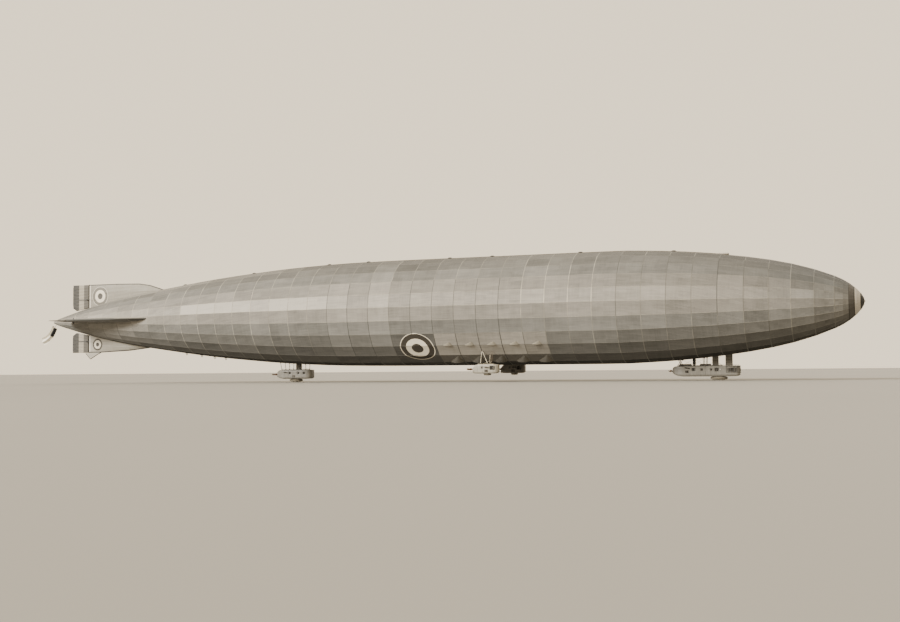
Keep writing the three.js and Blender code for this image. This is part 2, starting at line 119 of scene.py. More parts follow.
def new_material(name, **surface):
    """A material, its node tree and its surface shader with the constant values set."""
    material = bpy.data.materials.new(name)
    material.use_nodes = True
    tree = material.node_tree
    shader = tree.nodes["Principled BSDF"]
    for key, value in surface.items():
        shader.inputs[key.replace("_", " ").title().replace("Ior", "IOR")].default_value = value
    return material, tree, shader


# Stage: floor, light and camera

def make_stage():
    """A plain pale floor, a plain pale surround and soft light from low on the camera's side."""
    size = 400
    mesh = bpy.data.meshes.new("floor")
    corners = [(-size, -size), (size, -size), (size, size), (-size, size)]
    mesh.from_pydata([(x, y, FLOOR_Z) for x, y in corners], [], [(0, 1, 2, 3)])
    floor = linked("floor", mesh)
    material, tree, shader = new_material("pale matt floor", roughness=0.9)
    coords = add(tree, "TexCoord").outputs["Object"]
    patches = add(tree, "TexNoise", {"Vector": coords, "Scale": 0.12, "Detail": 3.0})
    shade = add(tree, "Mix",
                {"Factor": patches.outputs["Fac"], "A": linear("#79766f"), "B": linear("#807d76")},
                data_type="RGBA")
    tree.links.new(shade.outputs["Result"], shader.inputs["Base Color"])
    mesh.materials.append(material)

    world = bpy.data.worlds.new("pale surround")
    bpy.context.scene.world = world
    world.use_nodes = True
    background = world.node_tree.nodes["Background"]
    background.inputs["Color"].default_value = linear("#fbe9cb")
    background.inputs["Strength"].default_value = 1.7

    for name, strength, angle, azimuth, elevation in LAMPS:
        lamp = bpy.data.lights.new(name, "SUN")
        lamp.energy = strength
        lamp.angle = radians(angle)
        lamp.color = (1.0, 0.965, 0.9)
        thing = linked(name, lamp)
        a, e = radians(azimuth), radians(elevation)
        way = Vector((cos(a) * cos(e), sin(a) * cos(e), sin(e)))
        thing.rotation_mode = "QUATERNION"
        thing.rotation_quaternion = way.to_track_quat("Z", "Y")
        thing.location = way * 60


# Name, strength, width in degrees, azimuth that the light comes from, elevation
LAMPS = [
    ("soft key", 9.0, 20, 228, 27),
    ("soft fill", 0.8, 60, 60, 30),
]


def make_camera():
    """The photograph's eye, solved from the hull's frames and outline."""
    place = Vector((10.02823, -24.2733, -1.31091))
    yaw, pitch, roll = (radians(v) for v in (-20.311, 2.954, -0.456))
    forward = Vector((sin(yaw) * cos(pitch), cos(yaw) * cos(pitch), sin(pitch)))
    right = forward.cross(Vector((0, 0, 1))).normalized()
    up = right.cross(forward)
    leaned_right = right * cos(roll) + up * sin(roll)
    leaned_up = up * cos(roll) - right * sin(roll)
    data = bpy.data.cameras.new("camera")
    data.sensor_width = 36
    data.lens = 36 * 1156.21 / 900
    data.clip_end = 1000
    camera = linked("camera", data)
    turn = Matrix((leaned_right, leaned_up, -forward)).transposed().to_4x4()
    camera.matrix_world = Matrix.Translation(place) @ turn
    bpy.context.scene.camera = camera


# Pieces

def placed(name, mesh, body=AIRFRAME):
    """A mesh set in the scene as a piece that rides a body."""
    piece = linked(name, mesh)
    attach(piece, body)
    return piece


def make_piece(name, points, faces, materials, body=AIRFRAME, slot=None, smooth=True, uv=None,
               face_values=None,
               face_material=None, sharp_angle=None):
    """A mesh piece that rides a body: uv is one pair for each face corner, face_values name one number a
    face.
    """
    mesh = bpy.data.meshes.new(name)
    mesh.from_pydata([tuple(p) for p in points], [], [tuple(f) for f in faces])
    for material in materials if isinstance(materials, (list, tuple)) else [materials]:
        mesh.materials.append(material)
    if uv is not None:
        layer = mesh.uv_layers.new(name="unrolled")
        layer.data.foreach_set("uv", np.asarray(uv, dtype=np.float32).ravel())
    for key, values in (face_values or {}).items():
        attribute = mesh.attributes.new(key, "FLOAT", "FACE")
        attribute.data.foreach_set("value", np.asarray(values, dtype=np.float32))
    if face_material is not None:
        mesh.polygons.foreach_set("material_index", face_material)
    mesh.polygons.foreach_set("use_smooth", [smooth] * len(mesh.polygons))
    if sharp_angle is not None:
        mesh.set_sharp_from_angle(angle=radians(sharp_angle))
    mesh.update()
    return placed(name, mesh, body)


# Hull rings, read off the solids: place along the hull and radius to the corners, from bow to tail.
# A ring counts as an outer one when it is this near to the outline of all of them
RING_SLACK = 0.004
HULL_NODES = ("bow_cap", "hull_bow", "hull_fore", "hull_middle", "hull_aft", "hull_tail", "hull_stern",
              "tail_cone")


def hull_rings():
    """Rings of the hull's outer corners, found as the upper edge of all places and radii."""
    best = {}
    for node in HULL_NODES:
        for x, y, z in rows_of(node):
            key = round(x, 3)
            best[key] = max(best.get(key, 0), hypot(y, z))
    spots = sorted(best.items())
    edge = []
    for spot in spots:
        while len(edge) > 1:
            (x0, r0), (x1, r1) = edge[-2:]
            if (r1 - r0) * (spot[0] - x0) > (spot[1] - r0) * (x1 - x0):
                break
            edge.pop()
        edge.append(spot)
    xs, rs = zip(*edge)
    rings = [(x, r) for x, r in spots if r > np.interp(x, xs, rs) - RING_SLACK]
    return sorted(rings, reverse=True)


RINGS = hull_rings()


def hull_radius(x):
    """Radius to the hull's corners at a place along it."""
    xs, rs = zip(*reversed(RINGS))
    return float(np.interp(x, xs, rs))


def hull_point(x, number, out=0.0):
    """Point on the faceted hull: number counts facets round from the top, to port."""
    whole = number // 1
    share = number - whole
    radius = hull_radius(x) + out
    ends = [Vector((x, radius * sin(n * FACET_ANGLE), radius * cos(n * FACET_ANGLE)))
            for n in (whole, whole + 1)]
    return ends[0].lerp(ends[1], share)


FRAMES = [x for x, _ in RINGS if FIRST_FRAME < NOSE_X - x < LAST_FRAME]


# Envelope

# Bays between frames on the starboard side, as the photograph shows them: newer or older fabric in most rows,
# painted shade on the crown of the bow in the first three, a painted highlight along the fifth facet down in
# the row that adds 0.42, and painted light on the top at the tail in the last: first and last frame of the
# bay, first and last facet down from the top, change of tone
PANEL_TONES_AND_PAINTED_LIGHT = [
    (0, 3, 0, 1, -0.30), (3, 6, 0, 1, -0.20), (6, 10, 0, 1, -0.08), (10, 13, 7, 8, 0.18),
    (12, 16, 0, 1, 0.16),
    (13, 18, 9, 9, 0.12), (15, 18, 4, 4, -0.08), (18, 20, 8, 9, -0.12), (18, 20, 1, 2, -0.10),
    (20, 21, 0, 9, 0.16),
    (20, 23, 8, 9, 0.12), (22, 23, 3, 9, 0.15), (22, 26, 1, 1, -0.08), (23, 31, 5, 5, 0.42),
    (24, 25, 8, 9, -0.10),
    (30, 37, 0, 1, 0.16),
]
# How much of the painted shading is lifted: on newer fabric that is still clean in the first three rows, and
# as painted light on the top at the tail and under the level fins in the others: first and last bay, facet,
# how much is lifted
SHADING_LIFTED = [(13, 18, 8, 0.95), (13, 18, 9, 1.0), (13, 18, 10, 0.36), (26, 29, 0, 0.2), (29, 35, 0, 0.5),
           (35, 40, 0, 0.25),
           (26, 32, 1, 0.2), (32, 37, 1, 0.38), (32, 35, 6, 0.6), (33, 38, 7, 0.55), (34, 38, 8, 0.3),
           (33, 38, 9, 0.3),
           (34, 37, 10, 0.3)]


def panel_tone(rng, frame, facet):
    """Tone of one panel of fabric: chance, and the changes that the photograph shows to starboard, newer and
    older fabric with painted shade and painted light among them.
    """
    tone = 0.5 + rng.gauss(0, 0.07)
    down = FACETS - 1 - facet if facet > FACETS // 2 else None
    if down is not None:
        for first, last, top, bottom, change in PANEL_TONES_AND_PAINTED_LIGHT:
            if first <= frame < last and top <= down <= bottom:
                tone += change
    return tone


def panel_shading_lifted(frame, facet):
    """How much of the painted shading is lifted on one panel."""
    down = min(facet, FACETS - 1 - facet)
    return sum(share for first, last, row, share in SHADING_LIFTED if first <= frame < last and row == down)


# Columns of points on each facet, depth that the fabric sags, length of the rows of points, distance from the
# nose of the cap's flat tip
ACROSS = 5
SAG = 0.0032
SKIN_STEP = 0.09
BOW_TIP = 0.012


def skin_rows(front, rear):
    """Places of the rows of points between two places along the hull, with the share of each row in its
    bay.
    """
    marks = [x for x, _ in RINGS if rear - 0.001 <= x <= front + 0.001]
    rows = []
    for a, b in zip(marks, marks[1:]):
        steps = max(1, round((a - b) / SKIN_STEP))
        rows += [(a + (b - a) * i / steps, i / steps) for i in range(steps)]
    rows.append((marks[-1], 0.0))
    return rows


def make_skin(node, material, rng):
    """The doped fabric of one stretch of the hull: flat facets that sag a little between the girders."""
    xs = rows_of(node)[:, 0]
    rows = skin_rows(xs.max(), xs.min())
    columns = FACETS * ACROSS
    points = []
    for x, along in rows:
        for k in range(columns):
            across = (k % ACROSS) / ACROSS
            depth = SAG * 16 * across * (1 - across) * along * (1 - along)
            points.append(hull_point(x, k / ACROSS, -depth))
    faces, uv, tones, downs, shading_lifted = [], [], [], [], []
    tone_of = {}
    for i in range(len(rows) - 1):
        x = (rows[i][0] + rows[i + 1][0]) / 2
        frame = sum(1 for f in FRAMES if f > x)
        for k in range(columns):
            after = (k + 1) % columns
            faces.append((i * columns + k, i * columns + after, (i + 1) * columns + after,
                          (i + 1) * columns + k))
            middle = (k + 0.5) / ACROSS
            shift = FACETS if middle > FACETS / 2 else 0
            width = 2 * hull_radius(x) * sin(FACET_ANGLE / 2)
            sides = [(k / ACROSS - shift) * width, ((k + 1) / ACROSS - shift) * width]
            ends = [NOSE_X - rows[i][0], NOSE_X - rows[i + 1][0]]
            uv += [(ends[0], sides[0]), (ends[0], sides[1]), (ends[1], sides[1]), (ends[1], sides[0])]
            key = (frame, k // ACROSS)
            if key not in tone_of:
                tone_of[key] = panel_tone(rng, *key)
            tones.append(tone_of[key])
            shading_lifted.append(panel_shading_lifted(*key))
            downs.append(abs((k // ACROSS + 0.5) - (FACETS if k // ACROSS > FACETS // 2 else 0)) * 2 / FACETS)
    last = (len(rows) - 1) * columns
    ends = {"bow_cap": (0, tuple(reversed(range(columns))), BOW_TIP),
            "tail_cone": (len(faces), tuple(range(last, last + columns)), NOSE_X - rows[-1][0])}
    if node in ends:
        spot, face, distance = ends[node]
        faces.insert(spot, face)
        uv[spot * 4:spot * 4] = [(distance, 0.0)] * columns
        for listed, value in ((tones, 0.5), (downs, 0.5), (shading_lifted, 0.0)):
            listed.insert(spot, value)
    values = {"panel_tone": tones, "down": downs, "shading_lifted": shading_lifted}
    skin = make_piece("skin_" + node, points, faces, material, uv=uv, face_values=values,
                      slot="dark_envelope" if node == "bow_cap" else "envelope")
    mark_panel_edges(skin.data, rows, columns)
    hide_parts(node)
    return skin


def mark_panel_edges(mesh, rows, columns):
    """Keeps the creases at girders and frames crisp."""
    sharp = mesh.attributes.new("sharp_edge", "BOOLEAN", "EDGE")
    flags = []
    for edge in mesh.edges:
        a, b = edge.vertices
        same_column = a % columns == b % columns
        flags.append((same_column and a % ACROSS == 0) or (not same_column and rows[a // columns][1] == 0))
    sharp.data.foreach_set("value", flags)


# Pitch in metres of a wave texture's bands at a scale of one
WAVE_PITCH = 0.314


def weave(tree, coords, pitch, strength):
    """Bump of plain woven threads at a real pitch in metres."""
    waves = []
    for direction in ("X", "Y"):
        waves.append(add(tree, "TexWave", {"Vector": coords, "Scale": WAVE_PITCH / pitch, "Distortion": 0.6,
                                           "Detail": 1.0}, bands_direction=direction).outputs["Fac"])
    both = add(tree, "Math", {0: waves[0], 1: waves[1]}, operation="MULTIPLY").outputs[0]
    return add(tree, "Bump",
               {"Height": both, "Strength": strength, "Distance": pitch * 0.4}).outputs["Normal"]


def stretched(tree, coords, along, across, scale, detail=3.0):
    """Noise drawn out along or across the hull, for stains and streaks."""
    turned = add(tree, "Mapping", {"Vector": coords, "Scale": (along, across, 1.0)}).outputs["Vector"]
    return add(tree, "TexNoise",
               {"Vector": turned, "Scale": scale, "Detail": detail, "Roughness": 0.6}).outputs["Fac"]


def total(tree, start, *parts):
    """Start value plus each part's share away from a half."""
    value = start
    for part, share in parts:
        away = add(tree, "Math", {0: part, 1: -0.5}, operation="ADD").outputs[0]
        value = add(tree, "Math", {0: away, 1: share, 2: value}, operation="MULTIPLY_ADD").outputs[0]
    return value


def between(tree, value, low, high):
    """One where a value lies between two limits, else nothing."""
    above = add(tree, "Math", {0: value, 1: low}, operation="GREATER_THAN").outputs[0]
    below = add(tree, "Math", {0: value, 1: high}, operation="LESS_THAN").outputs[0]
    return add(tree, "Math", {0: above, 1: below}, operation="MULTIPLY").outputs[0]


def banded(tree, under, value, low, high, hex_colour):
    """A plain colour painted over another one where a value lies between two limits."""
    mask = between(tree, value, low, high)
    return add(tree, "Mix", {"Factor": mask, "A": under, "B": linear(hex_colour)},
               data_type="RGBA").outputs["Result"]


LIGHT_LINEN = "#9f9a91"
DARK_LINEN = "#55524c"
PAINT_BLACK = "#39352e"
PAINT_WHITE = "#d8d0be"


# Middle of the discs on the hull's sides: distance from the nose, and way round from the top
DISC_AT = 9.195
DISC_ROUND = 133.4 / 14.4 * 0.3016


def disc(tree, colour, flat, centre, radius, rings):
    """Rings of paint round a centre: each ring is its outer and inner share of the radius and its colour."""
    away = add(tree, "VectorMath", {0: flat, 1: (centre[0], centre[1], 0.0)},
               operation="SUBTRACT").outputs["Vector"]
    reach = add(tree, "VectorMath", {0: away}, operation="LENGTH").outputs["Value"]
    for outer, inner, paint in rings:
        colour = banded(tree, colour, reach, inner * radius, outer * radius, paint)
    return colour


def envelope_fabric():
    """Doped linen in separate panels: weathered and streaked by rain, with painted light and shade that is
    darkest below.
    """
    material, tree, shader = new_material("doped linen of the hull", roughness=0.62, sheen_weight=0.15,
                                          sheen_roughness=0.5, specular_ior_level=0.35)
    flat = add(tree, "UVMap", uv_map="unrolled").outputs["UV"]
    tone = add(tree, "Attribute", attribute_name="panel_tone").outputs["Fac"]
    runs = stretched(tree, flat, 1.0, 0.12, 5.0)
    drips = stretched(tree, flat, 1.0, 0.1, 34.0, 2.0)
    stains = stretched(tree, flat, 0.1, 1.0, 9.0)
    scuffs = stretched(tree, flat, 0.11, 1.0, 30.0, 2.0)
    clouds = stretched(tree, flat, 1.0, 1.0, 2.4, 5.0)
    widths = stretched(tree, flat, 1.0, 1.0, 60.0, 2.0)
    strips = cloth_strips(tree, flat)
    shade = total(tree, tone, (runs, 0.30), (drips, 0.22), (stains, 0.34), (scuffs, 0.42), (clouds, 0.26),
                  (widths, 0.10),
                  (strips, 0.11))
    colour = add(tree, "Mix", {"Factor": shade, "A": linear(DARK_LINEN), "B": linear(LIGHT_LINEN)},
                 data_type="RGBA",
                 clamp_factor=True).outputs["Result"]
    split = add(tree, "SeparateXYZ", {"Vector": flat})
    # Painted light and shade round the hull and towards the bow
    colour = painted_shading(tree, colour, split.outputs["X"])
    side = add(tree, "Math", {0: split.outputs["Y"]}, operation="ABSOLUTE").outputs[0]
    mirrored = add(tree, "CombineXYZ", {"X": split.outputs["X"], "Y": side}).outputs["Vector"]
    colour = disc(tree, colour, mirrored, (DISC_AT, DISC_ROUND), 0.40,
                  [(1.0, 0.955, PAINT_WHITE), (0.955, 0.655, PAINT_BLACK), (0.655, 0.335, PAINT_WHITE),
                   (0.335, 0.0, PAINT_BLACK)])
    for front, rear, paint in ((0.0, 0.081, "#211f1b"), (0.081, 0.184, "#9c978d"), (0.184, 0.204, "#312f2a"),
                               (0.204, 0.286, "#423f3a"), (0.286, 0.300, "#312f2a")):
        colour = banded(tree, colour, split.outputs["X"], front, rear, paint)
    tree.links.new(colour, shader.inputs["Base Color"])
    down = add(tree, "Attribute", attribute_name="down").outputs["Fac"]
    for name, clean, dirty in (("Specular IOR Level", 0.2, 0.02), ("Sheen Weight", 0.03, 0.0)):
        level = add(tree, "MapRange",
                    {"Value": down, "From Min": 0.82, "From Max": 0.9, "To Min": clean, "To Max": dirty})
        tree.links.new(level.outputs["Result"], shader.inputs[name])
    rough = total(tree, 0.6, (clouds, 0.25), (runs, 0.15))
    tree.links.new(rough, shader.inputs["Roughness"])
    waves = add(tree, "Bump", {"Height": clouds, "Strength": 0.25, "Distance": 0.01,
                               "Normal": weave(tree, flat, 0.0016, 0.12)}).outputs["Normal"]
    tree.links.new(waves, shader.inputs["Normal"])
    return material


# Share of the way down from the top, and how much of the linen's brightness is left there: painted light and
# shade, brightest on the facets that face the low key light, darker on top and darkest underneath
PAINTED_SHADING_DOWN = [(0.0, 0.36), (0.12, 0.37), (0.2, 0.45), (0.28, 0.56), (0.36, 0.70), (0.44, 0.96), (0.52, 0.765),
         (0.6, 0.615),
         (0.68, 0.50), (0.76, 0.425), (0.84, 0.34), (0.92, 0.25), (1.0, 0.15)]
# Share of the way from the nose along 20 m, and the brightness that painted shade leaves on the upper side
# there, where the bow turns away from the light
BOW_PAINTED_SHADE = [(0.0, 0.6), (0.05, 0.64), (0.11, 0.76), (0.2, 0.85), (0.3, 0.97), (0.35, 1.0), (1.0, 1.0)]


def shades(tree, place, table):
    """Greys eased between the rows of a table: place from nought to one, brightness."""
    ramp = add(tree, "ValToRGB", {"Fac": place})
    stops = ramp.color_ramp.elements
    stops[0].position, stops[1].position = table[0][0], table[-1][0]
    for spot, _ in table[1:-1]:
        stops.new(spot)
    for stop, (_, left) in zip(stops, table):
        cool = 0.035 if 0.1 < left < 0.65 else 0.0
        stop.color = (left * (1 - cool), left, left * (1 + cool), 1.0)
    return ramp.outputs["Color"]


def painted_shading(tree, colour, along):
    """Painted light and shade: darkens the linen on top, below and towards the bow as the light falls on it,
    and less on renewed panels and where painted light lifts it.
    """
    down = add(tree, "Attribute", attribute_name="down").outputs["Fac"]
    shading_lifted = add(tree, "Attribute", attribute_name="shading_lifted").outputs["Fac"]
    # Painted light and shade by facet, lifted on renewed panels and where painted light is added
    left = add(tree, "Mix", {"Factor": shading_lifted, "A": shades(tree, down, PAINTED_SHADING_DOWN), "B": (1, 1, 1, 1)},
               data_type="RGBA"
               ).outputs["Result"]
    share = add(tree, "Math", {0: along, 1: 0.05}, operation="MULTIPLY").outputs[0]
    lower = add(tree, "MapRange", {"Value": down, "From Min": 0.42, "From Max": 0.62}).outputs["Result"]
    # Painted shade on the upper side towards the bow, which turns away from the light
    soot = add(tree, "Mix", {"Factor": lower, "A": shades(tree, share, BOW_PAINTED_SHADE), "B": (1, 1, 1, 1)},
               data_type="RGBA"
               ).outputs["Result"]
    for shade in (left, soot):
        colour = add(tree, "Mix", {"Factor": 1.0, "A": colour, "B": shade}, data_type="RGBA",
                     blend_type="MULTIPLY").outputs["Result"]
    return colour


def cloth_strips(tree, flat):
    """A different tone for each width of cloth, as it was sewn up from the roll."""
    split = add(tree, "SeparateXYZ", {"Vector": flat})
    along = add(tree, "Math", {0: split.outputs["X"], 1: 0.25}, operation="SNAP").outputs[0]
    across = add(tree, "Math", {0: split.outputs["Y"], 1: 0.1005}, operation="SNAP").outputs[0]
    spot = add(tree, "CombineXYZ", {"X": along, "Y": across}).outputs["Vector"]
    return add(tree, "TexWhiteNoise", {"Vector": spot}, noise_dimensions="3D").outputs["Value"]


# Tapes over the seams: one round each frame and one along each girder

def tape_fabric():
    """Cotton tape doped over the lacing, frayed and dirty in places, with painted shade where its paleness is
    low and the hull's painted light and shade over it.
    """
    material, tree, shader = new_material("doped seam tape", roughness=0.7, sheen_weight=0.1)
    flat = add(tree, "UVMap", uv_map="unrolled").outputs["UV"]
    wear = stretched(tree, flat, 0.6, 1.0, 3.0)
    stitches = add(tree, "TexWave", {"Vector": flat, "Scale": 31.4, "Distortion": 0.3},
                   bands_direction="Y").outputs["Fac"]
    shade = total(tree, 0.5, (wear, 1.6), (stitches, 0.12))
    colour = add(tree, "Mix", {"Factor": shade, "A": linear("#5a564d"), "B": linear("#a39c8d")},
                 data_type="RGBA",
                 clamp_factor=True).outputs["Result"]
    # Paleness: fresh tape is paler, and low paleness is painted shade
    pale = add(tree, "Attribute", attribute_name="paleness").outputs["Fac"]
    colour = add(tree, "Mix",
                 {"Factor": 1.0, "A": colour, "B": shades(tree, pale, [(0.0, 0.3), (0.5, 0.95), (1.0, 1.9)])},
                 data_type="RGBA", blend_type="MULTIPLY").outputs["Result"]
    along = add(tree, "Attribute", attribute_name="along").outputs["Fac"]
    colour = painted_shading(tree, colour, along)
    tree.links.new(colour, shader.inputs["Base Color"])
    bump = add(tree, "Bump", {"Height": stitches, "Strength": 0.3, "Distance": 0.001}).outputs["Normal"]
    tree.links.new(bump, shader.inputs["Normal"])
    return material


# Lines over the frames: from, to in metres from the nose, share down from the top, share to, paleness there
LINES = [(0.0, 20.0, 0.0, 1.0, 0.56), (0.0, 20.0, 0.0, 0.26, 0.72), (4.6, 7.0, 0.0, 0.45, 0.84),
         (11.4, 16.0, 0.0, 0.36, 0.86),
         (11.8, 16.2, 0.6, 0.88, 0.84), (7.0, 11.6, 0.3, 0.92, 0.12), (2.2, 4.8, 0.14, 0.56, 0.22),
         (16.2, 19.0, 0.6, 0.9, 0.3),
         (4.6, 6.4, 0.62, 0.8, 0.8)]


def line_paleness(distance, down, chance):
    """How pale a frame's tape is at a spot: pale where the tape is fresh, and darkened as painted shade where
    shade falls on it.
    """
    value = 0.5
    for near, far, low, high, pale in LINES:
        if near <= distance < far and low <= down < high:
            value = pale
    return min(1.0, max(0.0, value + chance))


def make_frame_tapes(material):
    """A tape round the hull at each frame."""
    rng = random.Random(5)
    half, height = 0.009, 0.001
    points, faces, uv, down, along, paleness = [], [], [], [], [], []
    for x in FRAMES:
        start = len(points)
        chance = rng.gauss(0, 0.08)
        for number in range(FACETS):
            for shift, out in ((half, -0.001), (half * 0.8, height), (-half * 0.8, height), (-half, -0.001)):
                points.append(hull_point(x + shift, number, out))
        for number in range(FACETS):
            if abs(NOSE_X - x - DISC_AT) < 0.4 and 8 <= min(number, FACETS - 1 - number) <= 10:
                continue
            a, b = start + number * 4, start + (number + 1) % FACETS * 4
            for j in range(3):
                down.append(min(number + 0.5, FACETS - 0.5 - number) * 2 / FACETS)
                along.append(NOSE_X - x)
                paleness.append(line_paleness(NOSE_X - x, down[-1], chance))
                faces.append((a + j, b + j, b + j + 1, a + j + 1))
                v0, v1 = number * FACET_WIDTH, (number + 1) * FACET_WIDTH
                u = [NOSE_X - x + j * half, NOSE_X - x + (j + 1) * half]
                uv += [(u[0], v0), (u[0], v1), (u[1], v1), (u[1], v0)]
    return make_piece("frame_tapes", points, faces, material, slot="envelope", uv=uv, smooth=False,
                      face_values={"down": down, "along": along, "paleness": paleness})


# Distances from the nose between which the girder tapes run
GIRDERS_FROM = 0.302
GIRDERS_TO = 19.47


def make_girder_tapes(material):
    """A tape along each corner of the hull, from the bow cap to the tail cone."""
    half, height = 0.004, 0.0008
    xs = [x for x, _ in RINGS if GIRDERS_FROM < NOSE_X - x < GIRDERS_TO]
    points, faces, uv, down, along = [], [], [], [], []
    for number in range(FACETS):
        start = len(points)
        for x in xs:
            share = half / (2 * hull_radius(x) * sin(FACET_ANGLE / 2))
            points += [hull_point(x, number - share * 1.3, -0.0008), hull_point(x, number - share, height),
                       hull_point(x, number, height), hull_point(x, number + share, height),
                       hull_point(x, number + share * 1.3, -0.0008)]
        for i in range(len(xs) - 1):
            if abs(NOSE_X - (xs[i] + xs[i + 1]) / 2 - DISC_AT) < 0.3 and min(number, FACETS - number) in (9,
                    10):
                continue
            a, b = start + i * 5, start + (i + 1) * 5
            for j in range(4):
                down.append(min(number, FACETS - number) * 2 / FACETS)
                along.append(NOSE_X - xs[i])
                faces.append((a + j, a + j + 1, b + j + 1, b + j))
                u = [xs[i], xs[i + 1]]
                v = [number * FACET_WIDTH + j * half / 2, number * FACET_WIDTH + (j + 1) * half / 2]
                uv += [(v[0], u[0]), (v[1], u[0]), (v[1], u[1]), (v[0], u[1])]
    return make_piece("girder_tapes", points, faces, material, slot="envelope", uv=uv, smooth=False,
                      face_values={"down": down, "along": along, "paleness": [0.6] * len(faces)})


def make_envelope():
    """The hull's fabric in stretches, with the tapes over its seams."""
    rng = random.Random(34)
    linen = envelope_fabric()
    for node in HULL_NODES:
        make_skin(node, linen, rng)
    tape = tape_fabric()
    make_frame_tapes(tape)
    make_girder_tapes(tape)


# Shapes: each gives points and faces

def smooth_step(low, high, value):
    """Nothing below the low end, one above the high end and a soft rise between."""
    share = min(1.0, max(0.0, (value - low) / (high - low)))
    return share * share * (3 - 2 * share)


def loft(loops, ends=True):
    """A skin over closed loops of points that all have the same number of points."""
    count = len(loops[0])
    points = [p for loop in loops for p in loop]
    faces = []
    for i in range(len(loops) - 1):
        for k in range(count):
            a, b = i * count + k, i * count + (k + 1) % count
            faces.append((a, b, b + count, a + count))
    if ends:
        last = (len(loops) - 1) * count
        faces.append(tuple(reversed(range(count))))
        faces.append(tuple(range(last, last + count)))
    return points, faces


def sheet_of(rows):
    """A skin over rows of points, open at its edges."""
    count = len(rows[0])
    points = [p for row in rows for p in row]
    faces = [(i * count + k, i * count + k + 1, (i + 1) * count + k + 1, (i + 1) * count + k)
             for i in range(len(rows) - 1) for k in range(count - 1)]
    return points, faces


def rod(path, radius, sides=10, flat=1.0, along=Vector((1, 0, 0))):
    """A bar along a path with soft ends: flat is its width over its length in the direction called along."""
    path = [Vector(p) for p in path]
    loops = []
    stops = [(0, 0.0, 0.55), (0, 0.35, 0.9)] + [(i, None, 1.0) for i in range(1, len(path) - 1)]
    stops += [(len(path) - 1, -0.35, 0.9), (len(path) - 1, 0.0, 0.55)]
    for i, shift, share in stops:
        after, before = path[min(i + 1, len(path) - 1)], path[max(i - 1, 0)]
        way = (after - before).normalized()
        side = way.cross(along)
        side = (side if side.length > 1e-6 else way.orthogonal()).normalized()
        front = side.cross(way).normalized()
        centre = path[i] + way * (shift or 0.0) * radius
        loops.append([centre + front * cos(2 * pi * k / sides) * radius * share
                      + side * sin(2 * pi * k / sides) * radius * share * flat for k in range(sides)])
    return loft(loops)


def turned_on(axis_from, axis_to, profile, sides=16):
    """A turned form: the profile is rows of share of the way between the two ends and radius."""
    start, end = Vector(axis_from), Vector(axis_to)
    way = (end - start).normalized()
    side = way.orthogonal().normalized()
    front = way.cross(side)
    loops = [[start.lerp(end, share) + (side * cos(2 * pi * k / sides)
                                        + front * sin(2 * pi * k / sides)) * max(radius, 1e-5)
              for k in range(sides)] for share, radius in profile]
    return loft(loops)


def plate(outline, place, thick, bevel=0.0008):
    """A flat plate with bevelled edges: place turns a point of the outline and a height into a point in
    space.
    """
    count = len(outline)
    spots = [Vector((u, v)) for u, v in outline]
    area = sum(spots[k].x * spots[(k + 1) % count].y - spots[(k + 1) % count].x * spots[k].y
               for k in range(count))
    inward = []
    for k in range(count):
        back = (spots[k] - spots[k - 1]).normalized()
        on = (spots[(k + 1) % count] - spots[k]).normalized()
        way = Vector((-(back.y + on.y), back.x + on.x)) * (1 if area > 0 else -1)
        inward.append(way.normalized() if way.length > 1e-6 else Vector((0, 0)))
    inner = [p + way * bevel for p, way in zip(spots, inward)]
    loops = [[place(p.x, p.y, height) for p in row]
             for row, height in ((inner, 0.0), (spots, bevel), (spots, thick - bevel), (inner, thick))]
    return loft(loops)


def block(low, high, bevel=0.001):
    """A block with bevelled edges."""
    x0, y0, z0 = low
    x1, y1, z1 = high
    return plate([(x0, y0), (x1, y0), (x1, y1), (x0, y1)], lambda u, v, w: Vector((u, v, z0 + w)), z1 - z0,
                 bevel)


class Parts:
    """Gathers the points and faces of many small shapes into one piece."""

    def __init__(self):
        self.points = []
        self.faces = []
        self.kinds = []

    def put(self, shape, kind=0, move=None):
        """Adds a shape, which takes the material of that number."""
        points, faces = shape
        start = len(self.points)
        self.points += [move(Vector(p)) for p in points] if move else points
        self.faces += [tuple(start + k for k in face) for face in faces]
        self.kinds += [kind] * len(faces)
        return self

    def piece(self, name, materials, **options):
        """Makes one piece of all the shapes."""
        made = make_piece(name, self.points, self.faces, materials, face_material=self.kinds, **options)
        outward(made.data)
        return made


def thicken(piece, thickness, offset=-1):
    """Gives a skin the thickness of its plate or cloth."""
    thick = piece.modifiers.new("thickness", "SOLIDIFY")
    thick.thickness = thickness
    thick.offset = offset


def outward(mesh):
    """Turns the faces of closed shapes to look outward."""
    shape = bmesh.new()
    shape.from_mesh(mesh)
    bmesh.ops.recalc_face_normals(shape, faces=shape.faces)
    shape.to_mesh(mesh)
    shape.free()


# Tail: fins, rudders and elevators, drawn upright and then turned about the hull's axis

# Distances from the nose: hinge line, fins' rear edge, front and rear of rudders and elevators
HINGE = 18.5
FIN_REAR = 18.48
SURFACE_FRONT = 18.503
SURFACE_REAR = 19.003
RIB_SPACING = 0.078
# Height above the axis, distance of the leading edge from the nose, thickness
HIGH_FIN = [(0.180, 16.100, 0.130), (0.732, 16.238, 0.120), (0.872, 16.687, 0.074), (0.920, 17.000, 0.050),
            (0.935, 17.657, 0.026)]
LOW_FIN = [(0.180, 16.100, 0.130), (0.660, 16.420, 0.120), (0.700, 16.760, 0.090), (0.752, 17.281, 0.056),
           (0.786, 18.122, 0.030)]
